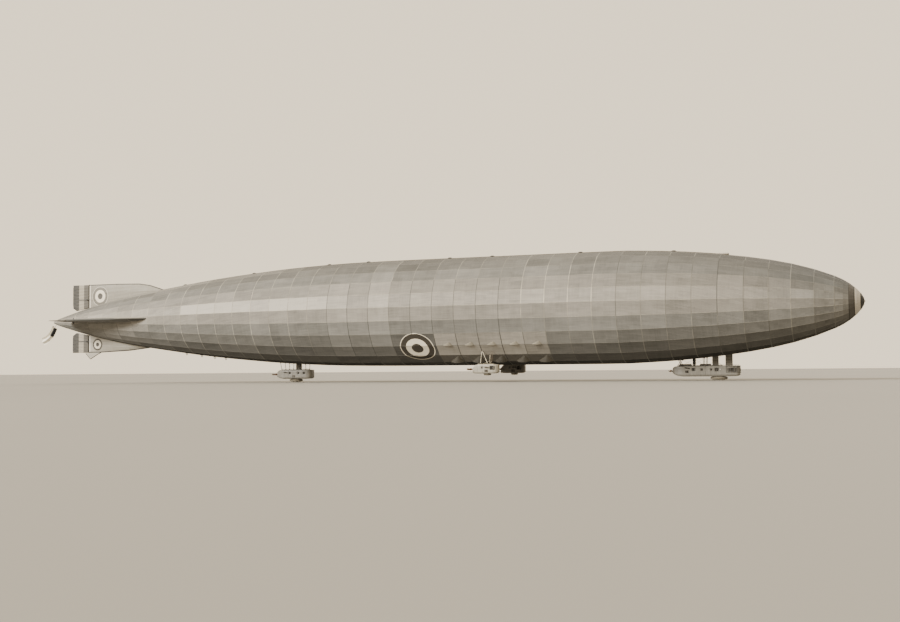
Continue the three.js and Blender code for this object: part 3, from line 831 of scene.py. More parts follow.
# Node, moving node, table, height of the tip, degrees about the hull, spot of the painted disc or nothing
TAIL = [
    ("fin_upper", "rudder_upper", HIGH_FIN, 0.935, 0, (18.150, 0.634, 0.243)),
    ("fin_port", "elevator_port", HIGH_FIN, 0.935, -90, None),
    ("fin_starboard", "elevator_starboard", HIGH_FIN, 0.935, 90, None),
    ("fin_lower", "rudder_lower", LOW_FIN, 0.786, 180, (18.221, 0.583, 0.156)),
]
PAINT_SLATE = "#47433b"
# Height of the levers as a share of a rudder's or elevator's length
LEVER_SHARE = 0.36


def about_hull(point, degrees):
    """A point turned about the hull's axis."""
    a = radians(degrees)
    x, y, z = point
    return Vector((x, y * cos(a) - z * sin(a), y * sin(a) + z * cos(a)))


def upright_uv(points, faces, degrees):
    """Distance from the nose and height of each face corner, with the surface turned upright."""
    flat = [(NOSE_X - p[0], about_hull(p, -degrees)[2]) for p in points]
    return [flat[k] for face in faces for k in face]


def fin_half(table, distance, height):
    """Half the fin's thickness at a spot, and nothing ahead of its leading edge."""
    heights, fronts, thicks = zip(*table)
    front = float(np.interp(height, heights, fronts))
    thick = float(np.interp(height, heights, thicks))
    share = (distance - front) / (FIN_REAR - front)
    rear = min(thick, 0.044) / thick
    return thick / 2 * float(np.interp(share, (0, 0.015, 0.06, 0.15, 0.3, 0.5, 0.7, 1),
                                       (0, 0.26, 0.5, 0.78, 0.99, 0.985, 0.85, rear)))


def tip_height(table, distance):
    """Height of the fin's outline at a distance from the nose."""
    heights, fronts, _ = zip(*table)
    return float(np.interp(distance, fronts, heights))


def fin_loop(table, distance, ribs, seams):
    """One loop round the fin at a distance from the nose: up the port side and down the starboard side."""
    tip = tip_height(table, distance)
    root = hull_radius(x_at(distance)) - 0.05
    between_seams = min(abs(distance - seam) for seam in seams)
    port = []
    for k in range(ribs * 4 + 1):
        share = k / (ribs * 4)
        height = root + (tip - root) * share
        half = fin_half(table, distance, height)
        sag = 0.0028 * abs(sin(pi * share * ribs)) * smooth_step(0.0, 0.1, between_seams)
        edge = min(1.0, max(0.0, (tip - height) / 0.014))
        half = max(half - sag * smooth_step(0.0, 0.03, half), 0.0006)
        port.append((height, half * (0.25 + 0.75 * sqrt(edge)) if k < ribs * 4 else half * 0.25))
    port.insert(-1, (tip - 0.006, port[-2][1] * 0.3 + port[-1][1] * 2.2))
    return [(x_at(distance), half, height) for height, half in port] \
        + [(x_at(distance), -half, height) for height, half in reversed(port)]


def make_fin(node, table, degrees, material):
    """A fin's fabric drawn over its ribs, with a hard rear edge."""
    seams = [NOSE_X - x for x in FRAMES if 16.0 < NOSE_X - x < FIN_REAR] + [FIN_REAR]
    first = table[1][1] + 0.012
    stops = [first + 0.03 * k for k in range(3)]
    stops += list(np.linspace(first + 0.1, FIN_REAR, 44))
    loops = [[about_hull(p, degrees) for p in fin_loop(table, s, 5, seams)] for s in stops]
    points, faces = loft(loops)
    uv = upright_uv(points, faces, degrees)
    skin = make_piece("skin_" + node, points, faces, material, uv=uv, slot="envelope", sharp_angle=50)
    outward(skin.data)
    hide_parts(node)


def surface_bottom(bottom, distance):
    """Height of the lower edge of a rudder or elevator, which follows the hull and then rises."""
    slope = 0.066
    return float(np.interp(distance, (SURFACE_FRONT, 18.886, SURFACE_REAR), (bottom, bottom - slope,
                                                                            bottom - slope + 0.078)))


def surface_half(distance):
    """Half the thickness of a rudder or elevator, which tapers from its hinge to its rear edge."""
    return 0.020 - 0.014 * (distance - SURFACE_FRONT) / 0.5


def make_surface(node, degrees, material, steel):
    """A rudder or elevator: fabric over ribs, scalloped between them along its rear edge, on its hinge
    tube.
    """
    local = np.array([about_hull(p, -degrees) for p in rows_of(node)])
    body = local[np.abs(local[:, 0] - x_at(SURFACE_FRONT)) < 0.0005]
    bottom, top = body[:, 2].min(), body[:, 2].max()
    ribs = max(4, round((top - bottom) / RIB_SPACING))
    steps = ribs * 5
    # Share of the chord, share of the thickness there
    chord = [(0.0, 0.5), (0.012, 0.82), (0.04, 1.0)] + [(s, 1.0)
            for s in np.linspace(0.1, 0.96, 15)] + [(1.0, 0.8)]
    loops = []
    for share, part in chord:
        port = []
        for k in range(steps + 1):
            up = k / steps
            rib = abs(sin(pi * up * ribs))
            rear = SURFACE_REAR - 0.013 * rib
            distance = SURFACE_FRONT + (rear - SURFACE_FRONT) * share
            low = surface_bottom(bottom, distance)
            height = low + (top - low) * up
            half = surface_half(distance) * part
            half -= 0.0032 * rib * sin(pi * min(1, share * 1.05))
            edge = min(up, 1 - up) * (top - low)
            half *= 0.45 + 0.55 * sqrt(min(1.0, edge / 0.008))
            port.append((x_at(distance), max(half, 0.001), height))
        loops.append(port + [(x, -y, z) for x, y, z in reversed(port)])
    points, faces = loft([[about_hull(p, degrees) for p in loop] for loop in loops])
    uv = upright_uv(points, faces, degrees)
    skin = make_piece("skin_" + node, points, faces, material, body=node, uv=uv, slot="control_surface",
                      sharp_angle=60)
    outward(skin.data)

    fittings = Parts()
    low, high = local[:, 2].min(), local[:, 2].max()
    turn = lambda p: about_hull(p, degrees)
    pin_low = local[np.hypot(local[:, 0] - x_at(HINGE), local[:, 1]) < 0.0065][:, 2].min()
    fittings.put(rod([(x_at(HINGE), 0, pin_low), (x_at(HINGE), 0, high)], 0.006, 16), 0, turn)
    # Lever plate and horn on each side
    lever = bottom + (top - bottom) * LEVER_SHARE
    for hand in (1, -1):
        strap = [(18.500, -0.012), (18.846, -0.011), (18.846, 0.011), (18.500, 0.012)]
        fittings.put(plate(strap, lambda u, v, w,
                           h=hand: Vector((x_at(u), h * (surface_half(u) - 0.003 + w), lever + v)), 0.007,
                           0.001), 0, turn)
        horn = [(18.520, 0.018), (18.528, 0.074), (18.540, 0.078), (18.552, 0.072), (18.600, 0.016)]
        fittings.put(plate(horn, lambda u, v, w, h=hand: Vector((x_at(u), h * v, lever - 0.003 + w)), 0.006,
                           0.001), 0,
                     turn)
    fittings.piece("fittings_" + node, [steel], body=node, slot="strut", sharp_angle=40)
    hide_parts(node)


def make_lugs(degrees, tip, steel, name):
    """Forged hinge lugs on the fin's rear edge, at its root and at its tip."""
    inner = hull_radius(x_at(HINGE)) + 0.004
    parts = Parts()
    turn = lambda p: about_hull(p, degrees)
    for low in (inner, tip - 0.010):
        outline = [(FIN_REAR - 0.012, -0.014), (FIN_REAR - 0.012, 0.014), (HINGE, 0.014)]
        outline += [(HINGE + 0.014 * sin(a), 0.014 * cos(a)) for a in np.linspace(0.3, pi - 0.3, 8)]
        outline += [(HINGE, -0.014)]
        parts.put(plate(outline, lambda u, v, w, z=low: Vector((x_at(u), v, z + w)), 0.010, 0.0012), 0, turn)
        parts.put(turned_on((x_at(HINGE), 0, low - 0.004), (x_at(HINGE), 0, low + 0.014),
                            [(0, 0.0068), (0.0, 0.0095), (0.25, 0.0105), (0.75, 0.0105), (1, 0.0095),
                             (1, 0.0068)]), 0, turn)
    parts.piece(name, [steel], slot="strut", sharp_angle=40)


def fin_fabric(name, spot, rings, bands=(), pale="#98948a", shaded=False, ribs=0.0):
    """Doped linen over ribs, even and pale, with a painted disc or bands where the ship has them, and painted
    shade on the underside where shaded is set.
    """
    material, tree, shader = new_material(name, roughness=0.6, sheen_weight=0.15, sheen_roughness=0.5,
                                          specular_ior_level=0.35)
    flat = add(tree, "UVMap", uv_map="unrolled").outputs["UV"]
    clouds = stretched(tree, flat, 1.0, 1.0, 2.2, 5.0)
    runs = stretched(tree, flat, 1.0, 0.15, 9.0)
    patches = cloth_strips(tree, flat)
    shade = total(tree, 0.62, (clouds, 0.35), (runs, 0.3), (patches, 0.07))
    colour = add(tree, "Mix", {"Factor": shade, "A": linear("#6b665b"), "B": linear(pale)}, data_type="RGBA",
                 clamp_factor=True).outputs["Result"]
    if spot:
        colour = disc(tree, colour, flat, spot[:2], spot[2], rings)
    split = add(tree, "SeparateXYZ", {"Vector": flat})
    for front, rear, paint in bands:
        colour = banded(tree, colour, split.outputs["X"], front, rear, paint)
    if ribs:
        share = add(tree, "Math",
                    {0: add(tree, "Math", {0: split.outputs["Y"], 1: ribs}, operation="DIVIDE").outputs[0]},
                    operation="FRACT").outputs[0]
        near = between(tree, share, 0.0, 0.3)
        rear_part = between(tree, split.outputs["X"], 18.90, 19.02)
        mark = add(tree, "Math", {0: near, 1: rear_part}, operation="MULTIPLY").outputs[0]
        colour = add(tree, "Mix",
                     {"Factor": add(tree, "Math", {0: mark, 1: 0.75}, operation="MULTIPLY").outputs[0],
                      "A": colour, "B": linear("#0f0e0c")}, data_type="RGBA").outputs["Result"]
    dirt = stretched(tree, flat, 1.0, 1.0, 14.0, 5.0)
    dirty = add(tree, "Math", {0: dirt, 1: 0.25}, operation="MULTIPLY").outputs[0]
    colour = add(tree, "Mix", {"Factor": dirty, "A": colour, "B": linear("#4d473b")},
                 data_type="RGBA").outputs["Result"]
    # Painted shade: faces that turn downward are darkened
    if shaded:
        faces_up = add(tree, "SeparateXYZ", {"Vector": add(tree, "TexCoord").outputs["Normal"]}).outputs["Z"]
        below = add(tree, "MapRange",
                    {"Value": faces_up, "From Min": 0.55, "From Max": 0.1}).outputs["Result"]
        colour = add(tree, "Mix", {"Factor": below, "A": colour, "B": linear("#37332c")},
                     data_type="RGBA").outputs["Result"]
    tree.links.new(colour, shader.inputs["Base Color"])
    tree.links.new(total(tree, 0.6, (clouds, 0.25)), shader.inputs["Roughness"])
    tree.links.new(weave(tree, flat, 0.0016, 0.12), shader.inputs["Normal"])
    return material


def tape_values(faces, down, paleness):
    """The same painted shading and paleness for every face of a tape on a fin."""
    return {"down": [down] * len(faces), "along": [8.0] * len(faces), "paleness": [paleness] * len(faces)}


def fin_tapes(node, table, degrees, spot, material):
    """Tapes over the fin's seams: one up each frame and one along the edge."""
    points, faces, uv = [], [], []
    half_width, out = 0.006, 0.0012
    for x in FRAMES:
        distance = NOSE_X - x
        if not table[1][1] + 0.06 < distance < FIN_REAR - 0.02 or spot and abs(distance - spot[0]) < spot[2]:
            continue
        tip, root = tip_height(table, distance), hull_radius(x) - 0.01
        for hand in (1, -1):
            start = len(points)
            heights = np.linspace(root, tip - 0.016, 14)
            for height in heights:
                for shift, lift in ((-half_width, -0.0006), (-half_width * 0.7, out), (half_width * 0.7, out),
                                    (half_width, -0.0006)):
                    half = fin_half(table, distance + shift, height) + lift
                    points.append(about_hull((x_at(distance + shift), hand * half, height), degrees))
            for i in range(len(heights) - 1):
                for j in range(3):
                    a = start + i * 4 + j
                    faces.append((a, a + 1, a + 5, a + 4))
                    low, high = float(heights[i]), float(heights[i + 1])
                    uv += [(j * 0.004, low), (j * 0.004 + 0.004, low), (j * 0.004 + 0.004, high),
                           (j * 0.004, high)]
    values = tape_values(faces, 0.44, 0.62)
    return make_piece("tapes_" + node, points, faces, material, slot="envelope", uv=uv, smooth=False,
                      face_values=values)


def edge_tape(node, table, degrees, material):
    """A dark tape folded over the fin's edge, under the hull's painted shading as well."""
    stops = np.linspace(table[1][1] + 0.05, FIN_REAR - 0.002, 40)
    rows = []
    for s in stops:
        top = tip_height(table, s)
        row = []
        for drop, hand in ((0.022, 1), (0.008, 1), (0.001, 1), (0.0, 0), (0.001, -1), (0.008, -1),
                           (0.022, -1)):
            half = fin_half(table, s, top - max(drop, 0.004)) * (1.0 if drop > 0.004 else 0.5)
            row.append(about_hull((x_at(s), hand * (half + 0.001),
                                   top - drop + (0.001 if drop < 0.005 else 0.0)), degrees))
        rows.append(row)
    points, faces = sheet_of(rows)
    values = tape_values(faces, 0.6, 0.0)
    return make_piece("edge_tape_" + node, points, faces, material, slot="envelope", smooth=False,
                      uv=upright_uv(points, faces, degrees), face_values=values)


def make_skid(material, steel):
    """The lower fin's skid: a shallow keel plate of wood with a steel shoe."""
    outline = [(18.100, 0.752), (18.122, 0.776), (18.250, 0.832), (18.430, 0.932), (18.450, 0.944),
               (18.466, 0.934),
               (18.600, 0.800), (18.600, 0.793), (18.470, 0.793), (18.470, 0.752)]
    parts = Parts()
    parts.put(plate(outline, lambda u, v, w: Vector((x_at(u), w - 0.009, -v)), 0.018, 0.004), 0)
    for first, last in zip(outline[1:6], outline[2:7]):
        parts.put(rod([(x_at(s), 0, -z) for s, z in (first, last)], 0.0130, 8), 1)
    shoe = [(18.122, 0.7765), (18.250, 0.8335), (18.430, 0.9335), (18.450, 0.9455), (18.467, 0.9355),
            (18.600, 0.8015)]
    rows = [[Vector((x_at(s), y, -z)) for s, z in shoe] for y in (-0.0095, 0.0095)]
    points, faces = sheet_of(rows)
    parts.piece("skid", [material, steel], slot="envelope", sharp_angle=40)
    band = make_piece("skid_shoe", points, faces, steel, slot="strut")
    thicken(band, 0.0015, 1)


def make_tail(tape, steel, enamel):
    """Fins with tapes and lugs, rudders and elevators, and the skid."""
    upper_rings = [(1.0, 0.95, "#bdb8ac"), (0.95, 0.65, "#625e55"), (0.65, 0.315, PAINT_WHITE),
                   (0.315, 0.0, "#37342e")]
    lower_rings = [(1.0, 0.93, "#7c766a"), (0.93, 0.68, "#37332c"), (0.68, 0.33, PAINT_WHITE),
                   (0.33, 0.0, "#2b2823")]
    # The level fins take painted shade on their undersides
    plain = fin_fabric("doped linen of the level fins", None, [], shaded=True)
    banded = fin_fabric("doped linen of the rudders with painted bands", None, [],
                        [(18.50, 18.660, PAINT_SLATE), (18.500, 18.514, "#2b2823"),
                         (18.812, 19.01, "#2b2924")], pale="#a39b8b", ribs=0.112)
    # The elevators' linen is darker all over and darker below: painted shade
    level = fin_fabric("doped linen of the elevators darkened as painted shade", None, [], pale="#5a564f", shaded=True)
    for node, moving, table, tip, degrees, spot in TAIL:
        if spot:
            rings = upper_rings if degrees == 0 else lower_rings
            linen = fin_fabric("doped linen of the " + node.replace("_", " "), spot, rings,
                               [(FIN_REAR - 0.030, FIN_REAR + 0.001, "#cdc7ba")], "#8d897e"
                               if degrees == 0 else "#b0aba0")
        else:
            linen = plain
        make_fin(node, table, degrees, linen)
        fin_tapes(node, table, degrees, spot, tape)
        edge_tape(node, table, degrees, tape)
        make_lugs(degrees, tip, steel, "lugs_" + node)
        make_surface(moving, degrees, banded if spot else level, enamel)
        if node == "fin_lower":
            make_skid(linen, steel)


# Cars: the same sections as the solids, drawn smoothly, with their windows left open

# Roof and floor heights of the cars, how far out the wing cars lie, thickness of the plating
CABIN_TOP = -1.250
CABIN_BOTTOM = -1.470
WING_SIDE = 0.970
WING_TOP = -1.186
WING_BOTTOM = -1.376
AFT_TOP = -1.262
AFT_BOTTOM = -1.472
WALL = 0.003
# Radius of a car's rounded edges as a share of its half width or height
EDGE_SHARE = 0.24
# Sections of a car: distance from the nose, half width, top, bottom
CABIN_ROWS = [(2.434, 0.070, CABIN_TOP, CABIN_BOTTOM + 0.030),
              (2.480, 0.112, CABIN_TOP, CABIN_BOTTOM + 0.008),
              (2.640, 0.125, CABIN_TOP, CABIN_BOTTOM), (3.118, 0.125, CABIN_TOP, CABIN_BOTTOM)]
ENGINE_ROOM_ROWS = [(3.122, 0.125, CABIN_TOP, CABIN_BOTTOM), (3.560, 0.125, CABIN_TOP, CABIN_BOTTOM),
                    (3.740, 0.090, CABIN_TOP - 0.010, CABIN_BOTTOM + 0.030),
                    (3.800, 0.044, CABIN_TOP - 0.040, CABIN_BOTTOM + 0.070)]
WING_ROWS = [(7.306, 0.050, WING_TOP, WING_BOTTOM + 0.026), (7.350, 0.084, WING_TOP, WING_BOTTOM + 0.006),
             (7.440, 0.095, WING_TOP, WING_BOTTOM), (7.700, 0.092, WING_TOP, WING_BOTTOM),
             (7.800, 0.066, WING_TOP - 0.004, WING_BOTTOM + 0.002),
             (7.876, 0.036, WING_TOP - 0.066, WING_BOTTOM + 0.010)]
AFT_ROWS = [(12.180, 0.060, AFT_TOP, AFT_BOTTOM + 0.030), (12.240, 0.120, AFT_TOP, AFT_BOTTOM + 0.006),
            (12.360, 0.140, AFT_TOP, AFT_BOTTOM), (12.860, 0.140, AFT_TOP, AFT_BOTTOM),
            (13.020, 0.100, AFT_TOP - 0.008, AFT_BOTTOM + 0.020),
            (13.100, 0.046, AFT_TOP - 0.044, AFT_BOTTOM + 0.050)]
# Window: front, rear, lower edge, upper edge, number of panes
CABIN_WINDOWS = [(2.500, 2.545, -1.372, -1.300, 1), (2.560, 2.605, -1.372, -1.300, 1),
                 (2.620, 2.665, -1.372, -1.300, 1),
                 (2.860, 2.925, -1.360, -1.300, 2), (2.990, 3.020, -1.345, -1.315, 1)]
ENGINE_WINDOWS = [(3.180, 3.215, -1.345, -1.310, 1), (3.330, 3.390, -1.350, -1.300, 2)]
WING_WINDOWS = [(7.380, 7.470, -1.292, -1.222, 2), (7.635, 7.665, -1.265, -1.235, 1)]
AFT_WINDOWS = [(12.330, 12.375, -1.358, -1.314, 1), (12.480, 12.525, -1.358, -1.314, 1),
               (12.700, 12.745, -1.358, -1.314, 1)]


def smooth_row(rows, distance):
    """Half width, top and bottom at a distance from the nose, eased between the table's rows."""
    ds = [row[0] for row in rows]
    values = []
    for column in (1, 2, 3):
        ys = [row[column] for row in rows]
        steps = [(y1 - y0) / (d1 - d0) for d0, d1, y0, y1 in zip(ds, ds[1:], ys, ys[1:])]
        slopes = [steps[0]] + [0 if a * b <= 0 else 2 * a * b / (a + b) for a,
                               b in zip(steps, steps[1:])] + [steps[-1]]
        i = min(len(ds) - 2, max(0, sum(1 for d in ds[1:-1] if d <= distance)))
        span = ds[i + 1] - ds[i]
        t = (distance - ds[i]) / span
        values.append((2 * t ** 3 - 3 * t ** 2 + 1) * ys[i] + (t ** 3 - 2 * t ** 2 + t) * span * slopes[i]
                      + (3 * t ** 2 - 2 * t ** 3) * ys[i + 1] + (t ** 3 - t ** 2) * span * slopes[i + 1])
    return values


def car_loop(rows, distance, side, levels, inset=0.0):
    """One loop round a car: from the middle of its roof down the port side and up the starboard side."""
    half, top, bottom = smooth_row(rows, distance)
    half, top, bottom = half - inset, top - inset, bottom + inset
    edge = min(half, top - bottom) * EDGE_SHARE
    port = [(0.0, top), ((half - edge) * 0.5, top), (half - edge, top)]
    for a in (0.35, 0.75, 1.15):
        port.append((half - edge + edge * sin(a), top - edge + edge * cos(a)))
    for level in levels:
        port.append((half, min(top - edge, max(bottom + edge, level))))
    for a in (1.15, 0.75, 0.35):
        port.append((half - edge + edge * sin(a), bottom + edge - edge * cos(a)))
    port += [(half - edge, bottom), ((half - edge) * 0.5, bottom), (0.0, bottom)]
    loop = port + [(-y, z) for y, z in reversed(port[1:-1])]
    return [Vector((x_at(distance), side + y, z)) for y, z in loop]


def stations(rows, windows):
    """Distances of a car's rings, with one at each edge of each window."""
    marks = {round(row[0], 4) for row in rows}
    for front, rear, *_ in windows:
        marks |= {front, rear}
    marks = sorted(marks)
    out = []
    for a, b in zip(marks, marks[1:]):
        steps = max(1, ceil((b - a) / 0.025))
        out += [a + (b - a) * i / steps for i in range(steps)]
    return out + [marks[-1]]


# Windscreen in the front of the control cabin: half width, lower edge, upper edge
WINDSCREEN = (0.044, -1.372, -1.300)


def end_plate(points, faces, loop, start, lift, opening=None):
    """Closes one end of a car with a slightly domed plate, round an opening where there is one."""
    count = len(loop)
    centre = sum(loop, Vector()) / count
    inner = len(points)
    if opening:
        half, low, high = opening
        middle = Vector((loop[0].x + lift, centre.y, (low + high) / 2))
        ring = []
        for p in loop:
            way = p - middle
            share = min(half / max(abs(way.y), 1e-6), (high - low) / 2 / max(abs(way.z), 1e-6))
            ring.append(middle + Vector((0, way.y * share, way.z * share)))
        for y, z in ((half, high), (half, low), (-half, low), (-half, high)):
            corner = Vector((middle.x, centre.y + y, z))
            nearest = min(range(count), key=lambda k: (ring[k] - corner).length)
            ring[nearest] = corner
    else:
        ring = [p.lerp(centre, 0.12) + Vector((lift, 0, 0)) for p in loop]
    points += ring
    for k in range(count):
        faces.append((start + k, start + (k + 1) % count, inner + (k + 1) % count, inner + k))
    if not opening:
        points.append(centre + Vector((lift * 1.5, 0, 0)))
        faces += [(inner + k, inner + (k + 1) % count, len(points) - 1) for k in range(count)]


def make_car_body(name, rows, windows, side, material, nodes, windscreen=None):
    """The car's plating with its windows left open and a plate at each end."""
    lows = {round(w[2], 4) for w in windows} | {round(w[3], 4) for w in windows}
    top = max(row[2] for row in rows)
    bottom = min(row[3] for row in rows)
    spread = set(np.round(np.linspace(top - 0.035, bottom + 0.035, 6), 4))
    levels = sorted(lows | {v for v in spread if all(abs(v - w) > 0.008 for w in lows)}, reverse=True)
    ds = stations(rows, windows)
    loops = [car_loop(rows, d, side, levels) for d in ds]
    count = len(loops[0])
    points = [p for loop in loops for p in loop]
    faces = []
    for i in range(len(loops) - 1):
        for k in range(count):
            a, b = i * count + k, i * count + (k + 1) % count
            middle = (points[a] + points[b] + points[a + count] + points[b + count]) / 4
            on_side = abs(abs(middle.y - side) - smooth_row(rows, NOSE_X - middle.x)[0]) < 0.004
            open_here = on_side and any(front < NOSE_X - middle.x < rear and low < middle.z < high
                                        for front, rear, low, high, _ in windows)
            if not open_here:
                faces.append((a, b, b + count, a + count))
    end_plate(points, faces, loops[0], 0, 0.004, windscreen)
    end_plate(points, faces, loops[-1], (len(loops) - 1) * count, -0.004)
    body = make_piece(name, points, faces, material, slot="car_shell", sharp_angle=35)
    outward(body.data)
    thicken(body, WALL)
    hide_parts(*nodes)
    return body


def glaze(frames, panes, place, box, bars, wide, deep, lap):
    """One window: the frame round its box, bars across it, and the pane that laps behind the frame."""
    u0, u1, v0, v1 = box
    around = [(u0 - wide, u1 + wide, v0 - wide, v0 + 0.001), (u0 - wide, u1 + wide, v1 - 0.001, v1 + wide),
              (u0 - wide, u0 + 0.001, v0, v1), (u1 - 0.001, u1 + wide, v0, v1)]
    for a, b, low, high in around + bars:
        frames.put(plate([(a, low), (b, low), (b, high), (a, high)], lambda u, v, w: place(u, v, w - 0.003),
                         deep, 0.0012))
    panes.put(plate([(u0 - lap, v0 - lap), (u1 + lap, v0 - lap), (u1 + lap, v1 + lap), (u0 - lap, v1 + lap)],
                    lambda u, v, w: place(u, v, w - 0.0028), 0.0012, 0.0003))


def window_parts(rows, windows, side, frames, panes):
    """Frames, glazing bars and glass for a car's windows, on both sides."""
    for front, rear, low, high, count in windows:
        middle = (front + rear) / 2
        half = smooth_row(rows, middle)[0]
        lean = (smooth_row(rows, rear)[0] - smooth_row(rows, front)[0]) / (rear - front)
        for hand in (1, -1):
            place = lambda u, v, w, h=hand: Vector((x_at(u), side + h * (half + lean * (u - middle) + w), v))
            bars = []
            for k in range(1, count):
                spot = front + (rear - front) * k / count
                bars.append((spot - 0.002, spot + 0.002, low, high))
            if high - low > 0.05:
                spot = low + (high - low) * 0.62
                bars.append((front, rear, spot - 0.0015, spot + 0.0015))
            glaze(frames, panes, place, (front, rear, low, high), bars, 0.007, 0.0065, 0.001)


# Raised covers on the roofs: name, front, rear, run of the slope at the front and at the rear
COVERS = [("roof_cover_fore", 3.010, 3.250, 0.014, 0.014), ("roof_cover_rear", 3.404, 3.670, 0.026, 0.026)]
COVER_HALF = 0.066
COVER_TOP = CABIN_TOP + 0.038


def make_cover(name, front, rear, front_run, rear_run, material):
    """A raised cover with sloping ends, a lip round its foot and ribs across its top."""
    outline = [(front, CABIN_TOP - 0.003), (rear, CABIN_TOP - 0.003), (rear - rear_run, COVER_TOP),
               (front + front_run, COVER_TOP)]
    parts = Parts()
    parts.put(plate(outline, lambda u, v, w: Vector((x_at(u), w - COVER_HALF, v)), COVER_HALF * 2, 0.005))
    for hand in (1, -1):
        near, far = sorted((hand * COVER_HALF, hand * (COVER_HALF + 0.005)))
        parts.put(block((x_at(rear), near, CABIN_TOP - 0.003), (x_at(front), far, CABIN_TOP + 0.003), 0.001))
    for k in range(1, 4):
        spot = front + front_run + (rear - rear_run - front - front_run) * k / 4
        parts.put(block((x_at(spot) - 0.0025, 0.004 - COVER_HALF, COVER_TOP - 0.003),
                        (x_at(spot) + 0.0025, COVER_HALF - 0.004, COVER_TOP + 0.001), 0.0008))
    return parts.piece(name, [material], slot="car_shell", sharp_angle=30)


# Dark rails of the cabin's glazed front: height, first and last distance; posts: distance
GLAZING_RAILS = [(-1.268, 2.436, 2.700), (-1.390, 2.436, 2.700)]
GLAZING_POSTS = [2.452, 2.482, 2.552, 2.700]


def glazing_rails(parts):
    """Dark wooden rails and posts that frame the glazed front of the control cabin."""
    for z, front, rear in GLAZING_RAILS:
        for hand in (-1, 1):
            path = [(x_at(d), hand * (smooth_row(CABIN_ROWS, d)[0] + 0.0008), z)
                    for d in np.linspace(front, rear, 12)]
            parts.put(rod(path, 0.0085, 8, flat=0.4))
    for d in GLAZING_POSTS:
        for hand in (-1, 1):
            y = hand * (smooth_row(CABIN_ROWS, d)[0] + 0.0008)
            parts.put(rod([(x_at(d), y, -1.392), (x_at(d), y, -1.266)], 0.0055, 8))
    for z, *_ in GLAZING_RAILS:
        front = x_at(CABIN_ROWS[0][0]) + 0.004
        parts.put(rod([(front, -0.060, z), (front, 0.060, z)], 0.0055, 8))


def windscreen_parts(frames, panes):
    """Frame, two glazing bars and glass of the control cabin's windscreen."""
    half, low, high = WINDSCREEN
    place = lambda u, v, w: Vector((x_at(CABIN_ROWS[0][0]) + 0.004 + w, u, v))
    bars = [(y - 0.002, y + 0.002, low, high) for y in (-half / 3, half / 3)]
    glaze(frames, panes, place, (-half, half, low, high), bars, 0.005, 0.0055, 0.0)


def car_trim(rows, side, parts, pitch=0.12):
    """Straps over the plating's joints, a rubbing strake along each side and a roof edge rail."""
    first, last = rows[0][0], rows[-1][0]
    spot = first + pitch * 0.8
    while spot < last - 0.05:
        outer = car_loop(rows, spot, side, [(rows[0][2] + rows[0][3]) / 2], -0.0014)
        inner = car_loop(rows, spot, side, [(rows[0][2] + rows[0][3]) / 2], 0.0004)
        half = 0.004
        rings = [[p + Vector((shift, 0, 0)) for p in loop] for loop, shift in
                 ((inner, half), (outer, half * 0.75), (outer, -half * 0.75), (inner, -half))]
        count = len(outer)
        points = [p for ring in rings for p in ring]
        faces = [(j * count + k, j * count + (k + 1) % count, (j + 1) * count + (k + 1) % count,
                  (j + 1) * count + k)
                 for j in range(3) for k in range(count)]
        parts.put((points, faces))
        spot += pitch
    for hand in (1, -1):
        path = []
        for d in np.linspace(first + 0.01, last - 0.02, 16):
            half, top, bottom = smooth_row(rows, float(d))
            edge = min(half, top - bottom) * EDGE_SHARE
            path.append((x_at(float(d)), side + hand * (half + 0.0005), bottom + edge * 1.25))
        parts.put(rod(path, 0.004, 8))


def rivet_rows(rows, side, pitch, gap=0.010):
    """Places and facings of the rivets beside the plating's joints."""
    spots, ways = [], []
    first, last = rows[0][0], rows[-1][0]
    spot = first + pitch * 0.8
    while spot < last - 0.05:
        for shift in (-0.007, 0.007):
            loop = car_loop(rows, spot + shift, side,
                            list(np.linspace(rows[1][2] - 0.03, rows[1][3] + 0.03, 5)), -0.0002)
            centre = sum(loop, Vector()) / len(loop)
            total_length, marks = 0.0, []
            for k in range(len(loop)):
                a, b = loop[k], loop[(k + 1) % len(loop)]
                step = (b - a).length
                while step > 0 and total_length + step >= gap * (len(marks) + 1):
                    share = (gap * (len(marks) + 1) - total_length) / step
                    at = a.lerp(b, share)
                    marks.append(at)
                    along = b - a
                    way = Vector((0, along.z, -along.y)).normalized()
                    if way.dot(at - centre) < 0:
                        way = -way
                    spots.append(at)
                    ways.append(way)
                total_length += step
        spot += pitch
    return spots, ways


# Repeats by Geometry Nodes

def set_input(modifier, tree, name, value):
    """Sets a modifier's input by the identifier of the socket that has the name."""
    for item in tree.interface.items_tree:
        if item.item_type == "SOCKET" and item.in_out == "INPUT" and item.name == name:
            modifier[item.identifier] = value


